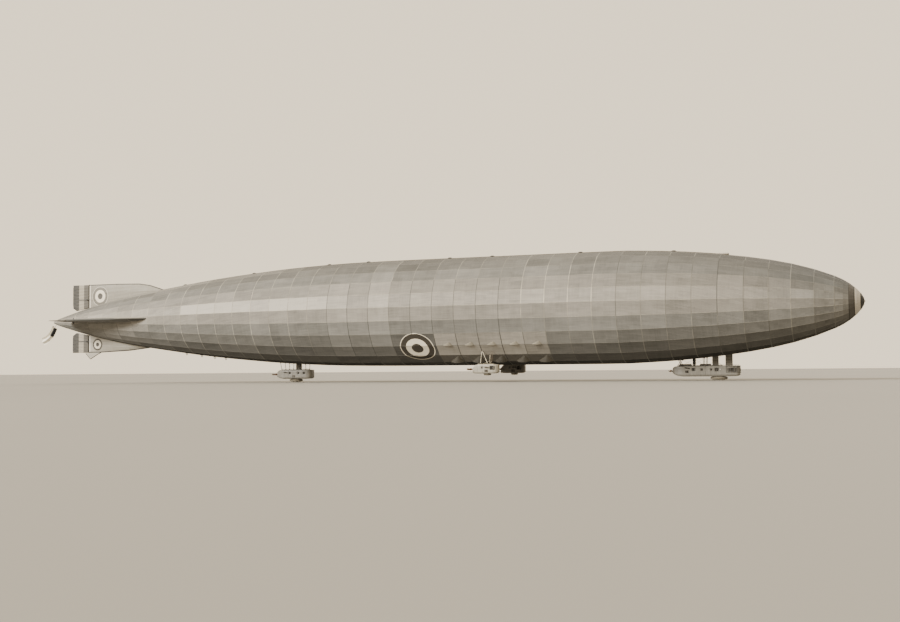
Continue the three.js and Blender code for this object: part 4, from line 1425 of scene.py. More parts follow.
def repeat_tree(title, numbers, finish, vector):
    """Sets one shape on points, turned to a vector kept on them, then makes the copies real and paints
    them.
    """
    tree = bpy.data.node_groups.new(title, "GeometryNodeTree")
    face = tree.interface
    face.new_socket("Geometry", in_out="INPUT", socket_type="NodeSocketGeometry")
    for name, value in numbers:
        face.new_socket(name, in_out="INPUT", socket_type="NodeSocketFloat").default_value = value
    face.new_socket(finish, in_out="INPUT", socket_type="NodeSocketMaterial")
    face.new_socket("Geometry", in_out="OUTPUT", socket_type="NodeSocketGeometry")
    new, link = tree.nodes.new, tree.links.new
    start, end = new("NodeGroupInput"), new("NodeGroupOutput")
    way = new("GeometryNodeInputNamedAttribute")
    way.data_type = "FLOAT_VECTOR"
    way.inputs["Name"].default_value = vector
    turn = new("FunctionNodeAlignRotationToVector")
    turn.axis = "Z"
    place = new("GeometryNodeInstanceOnPoints")
    real = new("GeometryNodeRealizeInstances")
    paint = new("GeometryNodeSetMaterial")
    link(way.outputs["Attribute"], turn.inputs["Vector"])
    link(turn.outputs["Rotation"], place.inputs["Rotation"])
    link(place.outputs["Instances"], real.inputs["Geometry"])
    link(real.outputs["Geometry"], paint.inputs["Geometry"])
    link(start.outputs[finish], paint.inputs["Material"])
    link(paint.outputs["Geometry"], end.inputs["Geometry"])
    return tree, start, place


def rivet_tree():
    """A domed rivet head on each point."""
    tree, start, place = repeat_tree("rivets on points", (("Head radius", 0.0014), ("Head height", 0.0008)),
            "Steel",
                                     "facing")
    new, link = tree.nodes.new, tree.links.new
    head = new("GeometryNodeMeshCone")
    head.inputs["Vertices"].default_value = 7
    shrink = new("ShaderNodeMath")
    shrink.operation = "MULTIPLY"
    shrink.inputs[1].default_value = 0.45
    spots = new("GeometryNodeMeshToPoints")
    link(start.outputs["Head radius"], head.inputs["Radius Bottom"])
    link(start.outputs["Head radius"], shrink.inputs[0])
    link(shrink.outputs[0], head.inputs["Radius Top"])
    link(start.outputs["Head height"], head.inputs["Depth"])
    link(start.outputs["Geometry"], spots.inputs["Mesh"])
    link(spots.outputs["Points"], place.inputs["Points"])
    link(head.outputs["Mesh"], place.inputs["Instance"])
    return tree


def rungs_tree():
    """A rung across a ladder at even steps along its path."""
    tree, start, place = repeat_tree("rungs along a path", (("Step", 0.03), ("Rung width", 0.04),
                                                            ("Rung radius", 0.002)), "Wood", "across")
    new, link = tree.nodes.new, tree.links.new
    curve = new("GeometryNodeMeshToCurve")
    steps = new("GeometryNodeCurveToPoints")
    steps.mode = "LENGTH"
    rung = new("GeometryNodeMeshCylinder")
    rung.inputs["Vertices"].default_value = 8
    link(start.outputs["Geometry"], curve.inputs["Mesh"])
    link(curve.outputs["Curve"], steps.inputs["Curve"])
    link(start.outputs["Step"], steps.inputs["Length"])
    link(start.outputs["Rung radius"], rung.inputs["Radius"])
    link(start.outputs["Rung width"], rung.inputs["Depth"])
    link(steps.outputs["Points"], place.inputs["Points"])
    link(rung.outputs["Mesh"], place.inputs["Instance"])
    return tree


def grown(name, points, edges, vectors, tree, values, body=AIRFRAME):
    """Runs a Geometry Nodes tree on a mesh of points and keeps the mesh that it makes."""
    seed = bpy.data.meshes.new(name + " seed")
    seed.from_pydata([tuple(p) for p in points], edges, [])
    for key, rows in vectors.items():
        attribute = seed.attributes.new(key, "FLOAT_VECTOR", "POINT")
        attribute.data.foreach_set("vector", np.asarray([tuple(v) for v in rows], dtype=np.float32).ravel())
    holder = bpy.data.objects.new(name + " seed", seed)
    bpy.context.scene.collection.objects.link(holder)
    modifier = holder.modifiers.new("grow", "NODES")
    modifier.node_group = tree
    for key, value in values.items():
        set_input(modifier, tree, key, value)
    holder.update_tag()
    bpy.context.view_layer.update()
    ready = holder.evaluated_get(bpy.context.evaluated_depsgraph_get())
    mesh = bpy.data.meshes.new_from_object(ready)
    mesh.name = name
    bpy.data.objects.remove(holder)
    bpy.data.meshes.remove(seed)
    return placed(name, mesh, body)


# Materials of the cars, machinery, timber and canvas

def blotches(tree, coords, scale, detail=4.0):
    """Soft noise at a scale a metre."""
    return add(tree, "TexNoise",
               {"Vector": coords, "Scale": scale, "Detail": detail, "Roughness": 0.6}).outputs["Fac"]


def painted_sheet(name, pale, dark, worn):
    """Oil paint brushed on light alloy sheet: matt, dulled by weather, rain-streaked and rubbed at edges."""
    material, tree, shader = new_material(name, specular_ior_level=0.45, coat_weight=0.08, coat_roughness=0.4)
    coords = add(tree, "TexCoord").outputs["Object"]
    cloud = blotches(tree, coords, 7.0)
    fine = blotches(tree, coords, 90.0, 5.0)
    tall = add(tree, "Mapping", {"Vector": coords, "Scale": (1.0, 1.0, 0.14)}).outputs["Vector"]
    streaks = blotches(tree, tall, 46.0, 3.0)
    shade = total(tree, 0.55, (cloud, 0.7), (streaks, 0.75), (fine, 0.25))
    colour = add(tree, "Mix", {"Factor": shade, "A": linear(dark), "B": linear(pale)}, data_type="RGBA",
                 clamp_factor=True).outputs["Result"]
    chips = add(tree, "MapRange",
                {"Value": blotches(tree, coords, 160.0, 6.0), "From Min": 0.66, "From Max": 0.72,
                                   "To Min": 0.0, "To Max": 0.7}).outputs["Result"]
    colour = add(tree, "Mix", {"Factor": chips, "A": colour, "B": linear(worn)},
                 data_type="RGBA").outputs["Result"]
    tree.links.new(colour, shader.inputs["Base Color"])
    tree.links.new(total(tree, 0.5, (cloud, 0.25), (fine, 0.15)), shader.inputs["Roughness"])
    dents = add(tree, "Bump", {"Height": cloud, "Strength": 0.35, "Distance": 0.003}).outputs["Normal"]
    tree.links.new(add(tree, "Bump", {"Height": fine, "Strength": 0.1, "Distance": 0.0006, "Normal": dents}
                       ).outputs["Normal"], shader.inputs["Normal"])
    return material


def bare_steel(name, pale, dark, roughness=0.38):
    """Forged steel, oiled against rust: dark, with brighter rubbed spots and brown bloom."""
    material, tree, shader = new_material(name, metallic=1.0)
    coords = add(tree, "TexCoord").outputs["Object"]
    bloom = blotches(tree, coords, 60.0)
    fine = blotches(tree, coords, 420.0, 3.0)
    shade = total(tree, 0.5, (bloom, 1.2), (fine, 0.6))
    colour = add(tree, "Mix", {"Factor": shade, "A": linear(dark), "B": linear(pale)}, data_type="RGBA",
                 clamp_factor=True).outputs["Result"]
    rust = add(tree, "MapRange",
               {"Value": bloom, "From Min": 0.56, "From Max": 0.72, "To Min": 0.0, "To Max": 0.55}
               ).outputs["Result"]
    colour = add(tree, "Mix", {"Factor": rust, "A": colour, "B": linear("#6a4a33")},
                 data_type="RGBA").outputs["Result"]
    tree.links.new(colour, shader.inputs["Base Color"])
    tree.links.new(total(tree, roughness, (bloom, 0.4), (fine, 0.2)), shader.inputs["Roughness"])
    tree.links.new(add(tree, "Bump",
                       {"Height": fine, "Strength": 0.15, "Distance": 0.0004}).outputs["Normal"],
                   shader.inputs["Normal"])
    return material


def canvas_cloth(name, pale, dark, pitch=0.0022):
    """Proofed duck canvas: coarse plain weave, faded on top and grubby where hands and boots reach."""
    material, tree, shader = new_material(name, roughness=0.85, sheen_weight=0.25, sheen_roughness=0.5,
                                          specular_ior_level=0.25)
    coords = add(tree, "TexCoord").outputs["Object"]
    cloud = blotches(tree, coords, 11.0)
    fine = blotches(tree, coords, 150.0, 4.0)
    shade = total(tree, 0.5, (cloud, 1.1), (fine, 0.5))
    colour = add(tree, "Mix", {"Factor": shade, "A": linear(dark), "B": linear(pale)}, data_type="RGBA",
                 clamp_factor=True).outputs["Result"]
    tree.links.new(colour, shader.inputs["Base Color"])
    threads = []
    for direction in ("X", "Z"):
        threads.append(add(tree, "TexWave",
                           {"Vector": coords, "Scale": WAVE_PITCH / pitch, "Distortion": 0.5, "Detail": 1.0},
                           bands_direction=direction).outputs["Fac"])
    both = add(tree, "Math", {0: threads[0], 1: threads[1]}, operation="MULTIPLY").outputs[0]
    folds = add(tree, "Bump", {"Height": cloud, "Strength": 0.4, "Distance": 0.006}).outputs["Normal"]
    tree.links.new(add(tree, "Bump", {"Height": both, "Strength": 0.4, "Distance": 0.0008, "Normal": folds}
                       ).outputs["Normal"], shader.inputs["Normal"])
    tree.links.new(total(tree, 0.82, (fine, 0.2)), shader.inputs["Roughness"])
    return material


def laminated_wood():
    """Walnut and mahogany boards glued up and varnished: glue lines follow the blade, the grain runs
    along it.
    """
    material, tree, shader = new_material("varnished laminated walnut", coat_weight=0.55, coat_roughness=0.16,
                                          specular_ior_level=0.5)
    flat = add(tree, "UVMap", uv_map="unrolled").outputs["UV"]
    split = add(tree, "SeparateXYZ", {"Vector": flat})
    boards = add(tree, "Math", {0: split.outputs["X"], 1: 0.0045}, operation="SNAP").outputs[0]
    board = add(tree, "TexWhiteNoise", {"W": boards}, noise_dimensions="1D").outputs["Value"]
    long = add(tree, "Mapping", {"Vector": flat, "Scale": (1.0, 0.05, 1.0)}).outputs["Vector"]
    grain = add(tree, "TexNoise",
                {"Vector": long, "Scale": 900.0, "Detail": 4.0, "Distortion": 0.6}).outputs["Fac"]
    pores = add(tree, "TexNoise", {"Vector": long, "Scale": 2600.0, "Detail": 2.0}).outputs["Fac"]
    shade = total(tree, 0.5, (board, 0.75), (grain, 1.3), (pores, 0.35))
    colour = add(tree, "Mix", {"Factor": shade, "A": linear("#3a2415"), "B": linear("#8a5a34")},
                 data_type="RGBA",
                 clamp_factor=True).outputs["Result"]
    tree.links.new(colour, shader.inputs["Base Color"])
    tree.links.new(total(tree, 0.34, (grain, 0.2)), shader.inputs["Roughness"])
    tree.links.new(add(tree, "Bump",
                       {"Height": grain, "Strength": 0.12, "Distance": 0.0004}).outputs["Normal"],
                   shader.inputs["Normal"])
    return material


def window_glass():
    """Smoke-tinted sheet with a faint waver and dust, so the windows look dark and what is behind shows
    dimly.
    """
    material, tree, shader = new_material("smoked window sheet", transmission_weight=0.85, ior=1.45,
                                          specular_ior_level=0.3)
    coords = add(tree, "TexCoord").outputs["Object"]
    waver = blotches(tree, coords, 30.0, 2.0)
    dust = blotches(tree, coords, 200.0)
    colour = add(tree, "Mix", {"Factor": dust, "A": linear("#3f3d37"), "B": linear("#68655c")},
                 data_type="RGBA"
                 ).outputs["Result"]
    tree.links.new(colour, shader.inputs["Base Color"])
    tree.links.new(total(tree, 0.1, (dust, 0.2)), shader.inputs["Roughness"])
    tree.links.new(add(tree, "Bump",
                       {"Height": waver, "Strength": 0.12, "Distance": 0.002}).outputs["Normal"],
                   shader.inputs["Normal"])
    return material


def oily_casting():
    """Cast iron and alloy of the engines, under a film of oil and soot."""
    material, tree, shader = new_material("oily engine casting", metallic=0.75, coat_weight=0.2,
            coat_roughness=0.25)
    coords = add(tree, "TexCoord").outputs["Object"]
    grit = blotches(tree, coords, 500.0, 3.0)
    soot = blotches(tree, coords, 25.0)
    shade = total(tree, 0.45, (soot, 1.2), (grit, 0.4))
    colour = add(tree, "Mix", {"Factor": shade, "A": linear("#1f1e1c"), "B": linear("#77746d")},
                 data_type="RGBA",
                 clamp_factor=True).outputs["Result"]
    tree.links.new(colour, shader.inputs["Base Color"])
    tree.links.new(total(tree, 0.45, (soot, 0.5)), shader.inputs["Roughness"])
    tree.links.new(add(tree, "Bump",
                       {"Height": grit, "Strength": 0.35, "Distance": 0.0006}).outputs["Normal"],
                   shader.inputs["Normal"])
    return material


def stranded_wire():
    """Galvanised steel strand, dull grey, with the twist of its wires."""
    material, tree, shader = new_material("galvanised strand", metallic=0.9)
    coords = add(tree, "TexCoord").outputs["Object"]
    twist = add(tree, "TexWave", {"Vector": coords, "Scale": 105.0, "Distortion": 0.4},
                bands_direction="DIAGONAL"
                ).outputs["Fac"]
    dull = blotches(tree, coords, 40.0)
    colour = add(tree, "Mix", {"Factor": total(tree, 0.45, (dull, 0.8), (twist, 0.5)), "A": linear("#3f3d39"),
                               "B": linear("#8d8a83")}, data_type="RGBA", clamp_factor=True).outputs["Result"]
    tree.links.new(colour, shader.inputs["Base Color"])
    tree.links.new(total(tree, 0.45, (dull, 0.3)), shader.inputs["Roughness"])
    tree.links.new(add(tree, "Bump",
                       {"Height": twist, "Strength": 0.5, "Distance": 0.0008}).outputs["Normal"],
                   shader.inputs["Normal"])
    return material


# Propellers

# Share of the radius, chord, thickness, twist in degrees
BLADE = [(0.0, 0.030, 0.024, 70), (0.07, 0.034, 0.023, 62), (0.14, 0.038, 0.019, 56),
         (0.25, 0.041, 0.0150, 48),
         (0.38, 0.045, 0.0125, 39), (0.52, 0.0455, 0.0103, 31), (0.66, 0.044, 0.0085, 26),
         (0.80, 0.040, 0.0066, 21.5),
         (0.90, 0.034, 0.005, 18.5), (0.96, 0.0265, 0.0036, 17), (0.99, 0.018, 0.0028, 16.3),
         (1.0, 0.009, 0.002, 16)]


def blade_ring(row, radius, hand):
    """An aerofoil section of a blade, flat behind and cambered in front."""
    share, chord, thick, twist = row
    a = radians(twist)
    ring = []
    for k in range(14):
        turn = 2 * pi * k / 14
        c = 0.5 * cos(turn)
        t = 0.5 * sin(turn) * (1 if sin(turn) > 0 else 0.62) * (1 - 0.35 * cos(turn))
        along, across = c * chord, t * thick
        lean = 0.006 * share
        point = Vector((along * sin(a) + across * cos(a) - lean, share * radius,
                        along * cos(a) - across * sin(a)))
        ring.append(point if hand > 0 else Vector((point.x, -point.y, -point.z)))
    return ring


# Moving node, distance of the car's rear end, side, height of the shaft, radius
PROPELLERS = [("propeller_forward", 3.800, 0.0, -1.352, 0.200),
              ("propeller_starboard", 7.876, -WING_SIDE, -1.285, 0.250),
              ("propeller_port", 7.876, WING_SIDE, -1.285, 0.250),
              ("propeller_aft", 13.100, 0.0, -1.367, 0.188)]


def make_propeller(node, rear, side, height, radius, wood, brass, steel):
    """A two-bladed pusher of laminated wood with brass-sheathed tips, bolted between two hub plates."""
    centre = Vector((x_at(rear + 0.056), side, height))
    shapes = [loft([blade_ring(row, radius, hand) for row in BLADE]) for hand in (1, -1)]
    shapes.append(turned_on((0.017, 0, 0), (-0.017, 0, 0),
                            [(0, 0.020), (0.1, 0.0225), (0.9, 0.0225), (1, 0.020)], 24))
    points, faces, uv = [], [], []
    for some, more in shapes:
        start = len(points)
        points += [centre + p for p in some]
        faces += [tuple(start + k for k in face) for face in more]
        uv += [(some[k].x + 0.4, some[k].y) for face in more for k in face]
    blades = make_piece("blades_" + node, points, faces, wood, body=node, slot="propeller", uv=uv,
                        sharp_angle=45)
    outward(blades.data)
    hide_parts(node)

    tips = Parts()
    for hand in (1, -1):
        rows = []
        for share in (0.70, 0.78, 0.86, 0.93, 0.965, 0.99):
            values = [float(np.interp(share, [r[0] for r in BLADE], [r[j] for r in BLADE]))
                      for j in (1, 2, 3)]
            full = blade_ring((share, values[0] + 0.0012, values[1] + 0.0012, values[2]), radius, hand)
            reach = 3 if share > 0.9 else 2
            picked = [full[k % 14] for k in range(-reach, reach + 1)]
            rows.append([centre + p for p in picked])
        tips.put(sheet_of(rows))
        end = blade_ring((0.995, 0.0165, 0.0042, 16), radius, hand)
        cap = blade_ring((0.9995, 0.0105, 0.0030, 16), radius, hand)
        tips.put(loft([[centre + p for p in end], [centre + p for p in cap]]))
    sheath = tips.piece("sheaths_" + node, [brass], body=node, slot="propeller", sharp_angle=45)
    thick = sheath.modifiers.new("sheet brass", "SOLIDIFY")
    thick.thickness = 0.0006

    metal = Parts()
    for face_x in (0.0172, -0.0172):
        way = 1 if face_x > 0 else -1
        a = centre + Vector((face_x, 0, 0))
        metal.put(turned_on(a, a + Vector((way * 0.004, 0, 0)),
                            [(0, 0.019), (0.2, 0.0198), (0.8, 0.0198), (1, 0.0185)], 24))
        for k in range(8):
            turn = 2 * pi * (k + 0.5) / 8
            foot = a + Vector((way * 0.0035, 0.0142 * cos(turn), 0.0142 * sin(turn)))
            metal.put(turned_on(foot, foot + Vector((way * 0.0035, 0, 0)),
                                [(0, 0.0028), (0.8, 0.0028), (1, 0.0021)], 6))
    nose = centre - Vector((0.021, 0, 0))
    metal.put(turned_on(nose, nose - Vector((0.010, 0, 0)),
                        [(0, 0.008), (0.5, 0.0078), (0.85, 0.0058), (1, 0.001)], 16))
    metal.put(turned_on(centre + Vector((0.021, 0, 0)), centre + Vector((0.083, 0, 0)),
                        [(0, 0.008), (0.12, 0.008), (0.13, 0.0115), (0.24, 0.0115), (0.25, 0.0078),
                         (1, 0.0078)], 16))
    metal.piece("hub_plates_" + node, [steel], body=node, slot="propeller", sharp_angle=35)

    bearing = Parts()
    start = Vector((x_at(rear) + 0.004, side, height))
    end = Vector((x_at(rear + 0.024), side, height))
    bearing.put(turned_on(start, end,
                          [(0, 0.0245), (0.15, 0.030), (0.3, 0.0300), (0.35, 0.0235), (0.9, 0.0225),
                                       (1, 0.0205), (1.0, 0.0085)], 24))
    for k in range(6):
        turn = 2 * pi * k / 6
        foot = start.lerp(end, 0.25) + Vector((0, 0.0262 * cos(turn), 0.0262 * sin(turn)))
        bearing.put(turned_on(foot, foot - Vector((0.005, 0, 0)), [(0, 0.0022), (0.8, 0.0022), (1, 0.0016)],
                              6))
    bearing.piece("shaft_bearing_" + node.replace("propeller_", ""), [steel], slot="strut", sharp_angle=35)


# Engines: node, distance of the front, side, floor
ENGINES = [("engine_forward", 3.290, 0.0, CABIN_BOTTOM + 0.006),
           ("engine_starboard", 7.500, -WING_SIDE, WING_BOTTOM + 0.006),
           ("engine_port", 7.500, WING_SIDE, WING_BOTTOM + 0.006),
           ("engine_aft_port", 12.560, 0.052, AFT_BOTTOM + 0.006),
           ("engine_aft_starboard", 12.560, -0.052, AFT_BOTTOM + 0.006)]


def make_engine(node, front, side, floor, casting, brass):
    """A six-cylinder upright engine that fills the plain block: bearers, crankcase, cylinders, pipes and
    cables.
    """
    parts = Parts()
    x0, x1 = x_at(front + 0.190), x_at(front)
    for hand in (1, -1):
        y = side + hand * 0.034
        parts.put(block((x0, y - 0.006, floor + 0.0005), (x1, y + 0.006, floor + 0.014), 0.001))
    case = [(-0.036, floor + 0.014), (0.036, floor + 0.014), (0.036, floor + 0.030), (0.024, floor + 0.052),
            (-0.024, floor + 0.052), (-0.036, floor + 0.030)]
    parts.put(plate([(y, z) for y, z in case], lambda u, v, w: Vector((x0 + 0.006 + w, side + u, v)), 0.178,
                    0.003))
    for k in range(6):
        x = x1 - 0.022 - k * 0.0285
        foot, head = Vector((x, side, floor + 0.051)), Vector((x, side, floor + 0.096))
        parts.put(turned_on(foot, head,
                            [(0, 0.0125), (0.1, 0.0125), (0.12, 0.0108), (0.7, 0.0108), (0.74, 0.0124),
                                         (0.92, 0.0124), (1, 0.0095)], 14))
        parts.put(rod([(x, side, floor + 0.095), (x, side, floor + 0.1035)], 0.003, 8))
        for hand in (1, -1):
            pipe = [(x, side + hand * 0.010, floor + 0.086), (x, side + hand * 0.022, floor + 0.086),
                    (x, side + hand * 0.029, floor + (0.080 if hand > 0 else 0.092))]
            parts.put(rod(pipe, 0.0035, 8), 1 if hand > 0 else 0)
    parts.put(rod([(x0 + 0.014, side + 0.030, floor + 0.078), (x1 - 0.014, side + 0.030, floor + 0.078)],
                  0.0055, 10), 1)
    parts.put(rod([(x0 + 0.004, side - 0.031, floor + 0.094), (x1 - 0.010, side - 0.031, floor + 0.094)],
                  0.0065, 10), 0)
    parts.put(turned_on((x0 + 0.001, side, floor + 0.036), (x0 + 0.012, side, floor + 0.036),
                        [(0, 0.026), (0.2, 0.0285), (0.8, 0.0285), (1, 0.026)], 24))
    made = parts.piece("works_" + node, [casting, brass], slot="engine", sharp_angle=35)
    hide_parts(node)


# Struts, stays and ladders between the hull and the cars

FRAME_16 = 7.745
FORWARD_HALF = 0.084
AFT_HALF = 0.096
WING_HALF = 0.060


def keel_point(distance, side, above=0.03):
    """Point just inside the hull's lower side, above a place on a car."""
    return (x_at(distance), side, -hull_radius(x_at(distance)) + above)


def girder_point(distance, number, inside=0.03):
    """Point on one of the hull's corners, counted from the top down the port side."""
    return hull_point(x_at(distance), number, -inside)


def strut_legs():
    """Every strut leg by node: foot on the car's roof, head in the hull, radius."""
    legs = {"struts_forward": [], "struts_aft": [], "struts_starboard": [], "struts_port": []}
    for hand in (-1, 1):
        for foot, head, radius in ((3.102, 3.102, 0.006), (3.164, 3.164, 0.006), (3.361, 3.361, 0.010),
                                   (3.600, 3.690, 0.005), (3.690, 3.600, 0.005)):
            legs["struts_forward"].append(((x_at(foot), hand * FORWARD_HALF, CABIN_TOP + 0.005),
                                           keel_point(head, hand * FORWARD_HALF * 1.2), radius))
        for foot, head, radius in ((12.320, 12.320, 0.006), (12.744, 12.744, 0.006), (12.950, 12.980, 0.006)):
            legs["struts_aft"].append(((x_at(foot), hand * AFT_HALF, AFT_TOP + 0.005),
                                       keel_point(head, hand * AFT_HALF * 1.2), radius))
    for node, hand in (("struts_starboard", -1), ("struts_port", 1)):
        side = hand * WING_SIDE
        outer, inner = side + hand * WING_HALF, side - hand * WING_HALF
        number = lambda n: n if hand > 0 else FACETS - n
        for foot, y, head, corner, radius in (
                (7.700, outer, FRAME_16, 9.65, 0.006), (7.530, outer, FRAME_16, 9.65, 0.006),
                (7.700, inner, 7.640, 11, 0.006), (7.530, inner, 7.640, 11, 0.006),
                (7.530, inner, 7.590, 10, 0.005)):
            legs[node].append(((x_at(foot), y, WING_TOP + 0.005), tuple(girder_point(head, number(corner))),
                               radius))
    return legs


def hull_crossing(foot, head):
    """Point where a strut meets the hull's fabric."""
    a, b = Vector(foot), Vector(head)
    low, high = 0.0, 1.0
    for _ in range(30):
        middle = (low + high) / 2
        p = a.lerp(b, middle)
        angle = atan2(p.y, p.z) % FACET_ANGLE - FACET_ANGLE / 2
        surface = hull_radius(p.x) * cos(FACET_ANGLE / 2) / cos(angle)
        if hypot(p.y, p.z) > surface:
            low = middle
        else:
            high = middle
    return a.lerp(b, low)


def dress_struts(legs, pale, dark, steel):
    """Paint on the struts, with a socket at each foot, a clamp at mid length and a boot where they meet
    the fabric.
    """
    for node, rows in legs.items():
        NODES[node].data.materials.clear()
        NODES[node].data.materials.append(pale if node in ("struts_starboard", "struts_port") else dark)
        parts = Parts()
        for foot, head, radius in rows:
            foot, at_hull = Vector(foot), hull_crossing(foot, head)
            way = (at_hull - foot).normalized()
            parts.put(turned_on(foot - way * 0.002, foot + way * 0.026,
                                [(0, radius + 0.0015), (0.1, radius + 0.0024), (0.75, radius + 0.0022),
                                 (1, radius + 0.0004)], 14))
            parts.put(turned_on(at_hull - way * 0.014, at_hull + way * 0.008,
                                [(0, radius + 0.0006), (0.25, radius + 0.003), (0.7, radius + 0.007),
                                 (1, radius + 0.010)], 14))
            middle = foot.lerp(at_hull, 0.5)
            if (at_hull - foot).length > 0.06:
                parts.put(turned_on(middle - way * 0.005, middle + way * 0.005,
                                    [(0, radius + 0.0002), (0.15, radius + 0.0014), (0.85, radius + 0.0014),
                                     (1, radius + 0.0002)], 14))
            across = way.orthogonal().normalized()
            at = foot + way * 0.012
            parts.put(turned_on(at - across * (radius + 0.005), at + across * (radius + 0.005),
                                [(0, 0.0022), (0.12, 0.003), (0.88, 0.003), (1, 0.0022)], 6))
        parts.piece("sockets_" + node, [steel], slot="strut", sharp_angle=35)


def make_sleeves(legs, cloth, steel):
    """Laced canvas sleeves round the forward car's two thick struts, drawn in by a band at every 45 mm."""
    parts = Parts()
    for foot, head, radius in legs["struts_forward"]:
        if radius < 0.008:
            continue
        foot, at_hull = Vector(foot), hull_crossing(foot, head)
        way = (at_hull - foot).normalized()
        low, high = foot + way * 0.030, at_hull - way * 0.012
        bands = max(2, round((high - low).length / 0.045))
        outline = []
        for k in range(bands * 8 + 1):
            bulge = abs(sin(pi * k / 8))
            outline.append((k / (bands * 8), 0.0160 + 0.0052 * bulge ** 0.6))
        parts.put(turned_on(low, high, [(0, radius + 0.0004)] + outline + [(1, radius + 0.0004)], 20))
        for k in range(bands + 1):
            at = low.lerp(high, k / bands)
            parts.put(turned_on(at - way * 0.0026, at + way * 0.0026,
                                [(0, 0.0158), (0.12, 0.0176), (0.88, 0.0176), (1, 0.0158)], 20), 1)
    parts.piece("sleeves_struts_forward", [cloth, steel], slot="canvas", sharp_angle=50)


def stay(parts, start, end, radius=0.0011):
    """A taut wire stay with a turnbuckle near its lower end."""
    a, b = Vector(start), Vector(end)
    parts.put(rod([a, b], radius, 6))
    way = (b - a).normalized()
    low = a + way * 0.018
    parts.put(turned_on(low, low + way * 0.022, [(0, 0.0014), (0.12, 0.0027), (0.88, 0.0027), (1, 0.0014)],
                        8), 1)


# Crossed stays: half width, roof, distances of the struts that each pair crosses between
CROSSED_STAYS = [(FORWARD_HALF, CABIN_TOP, ((3.164, 3.361), (3.361, 3.600), (2.800, 3.102))),
                 (AFT_HALF, AFT_TOP, ((12.320, 12.744), (12.744, 12.950)))]


def make_stays(wire, steel):
    """Crossed stays between neighbouring struts, and side stays from the car roofs up to the hull."""
    parts = Parts()
    for half, roof, pairs in CROSSED_STAYS:
        for pair in pairs:
            for hand in (-1, 1):
                for low, high in (pair, pair[::-1]):
                    stay(parts, (x_at(low), hand * half, roof + 0.014),
                         keel_point(high, hand * half * 1.15, 0.0))
    for hand in (-1, 1):
        number = lambda n: n if hand > 0 else FACETS - n
        side = hand * WING_SIDE
        for foot, y, head, corner in ((7.755, side - hand * 0.06, 8.245, 10),
                (7.405, side - hand * 0.06, 7.245, 11),
                                      (7.405, side + hand * 0.06, 7.440, 10),
                                              (7.755, side - hand * 0.06, 7.745, 10)):
            end = hull_crossing((x_at(foot), y, WING_TOP + 0.014), girder_point(head, number(corner)))
            stay(parts, (x_at(foot), y, WING_TOP + 0.014), end)
    parts.piece("stays", [wire, steel], slot="strut", sharp_angle=40)


# Pieces that a ladder's path has
LADDER_STEPS = 24


def make_ladder(name, foot, head, across, width, rungs, wood):
    """A ladder with two stiles and even rungs."""
    foot, head, across = Vector(foot), Vector(head), Vector(across).normalized()
    parts = Parts()
    for hand in (-1, 1):
        shift = across * hand * width / 2
        parts.put(rod([foot + shift, head + shift], 0.0026, 8, flat=0.7))
    parts.piece(name + "_stiles", [wood], slot="strut")
    points = [foot.lerp(head, (k + 0.3) / LADDER_STEPS) for k in range(LADDER_STEPS)]
    edges = [(k, k + 1) for k in range(LADDER_STEPS - 1)]
    grown(name + "_rungs", points, edges, {"across": [across] * LADDER_STEPS}, rungs,
          {"Step": 0.026, "Rung width": width, "Rung radius": 0.0019, "Wood": wood})


# Covered ladder trunks: node, front, rear, half width, roof that each stands on
TRUNKS = [("trunk_fore", 2.589, 2.719, 0.056, CABIN_TOP), ("trunk_middle", 2.872, 2.985, 0.056, CABIN_TOP),
          ("trunk_aft", 12.500, 12.600, 0.050, AFT_TOP)]


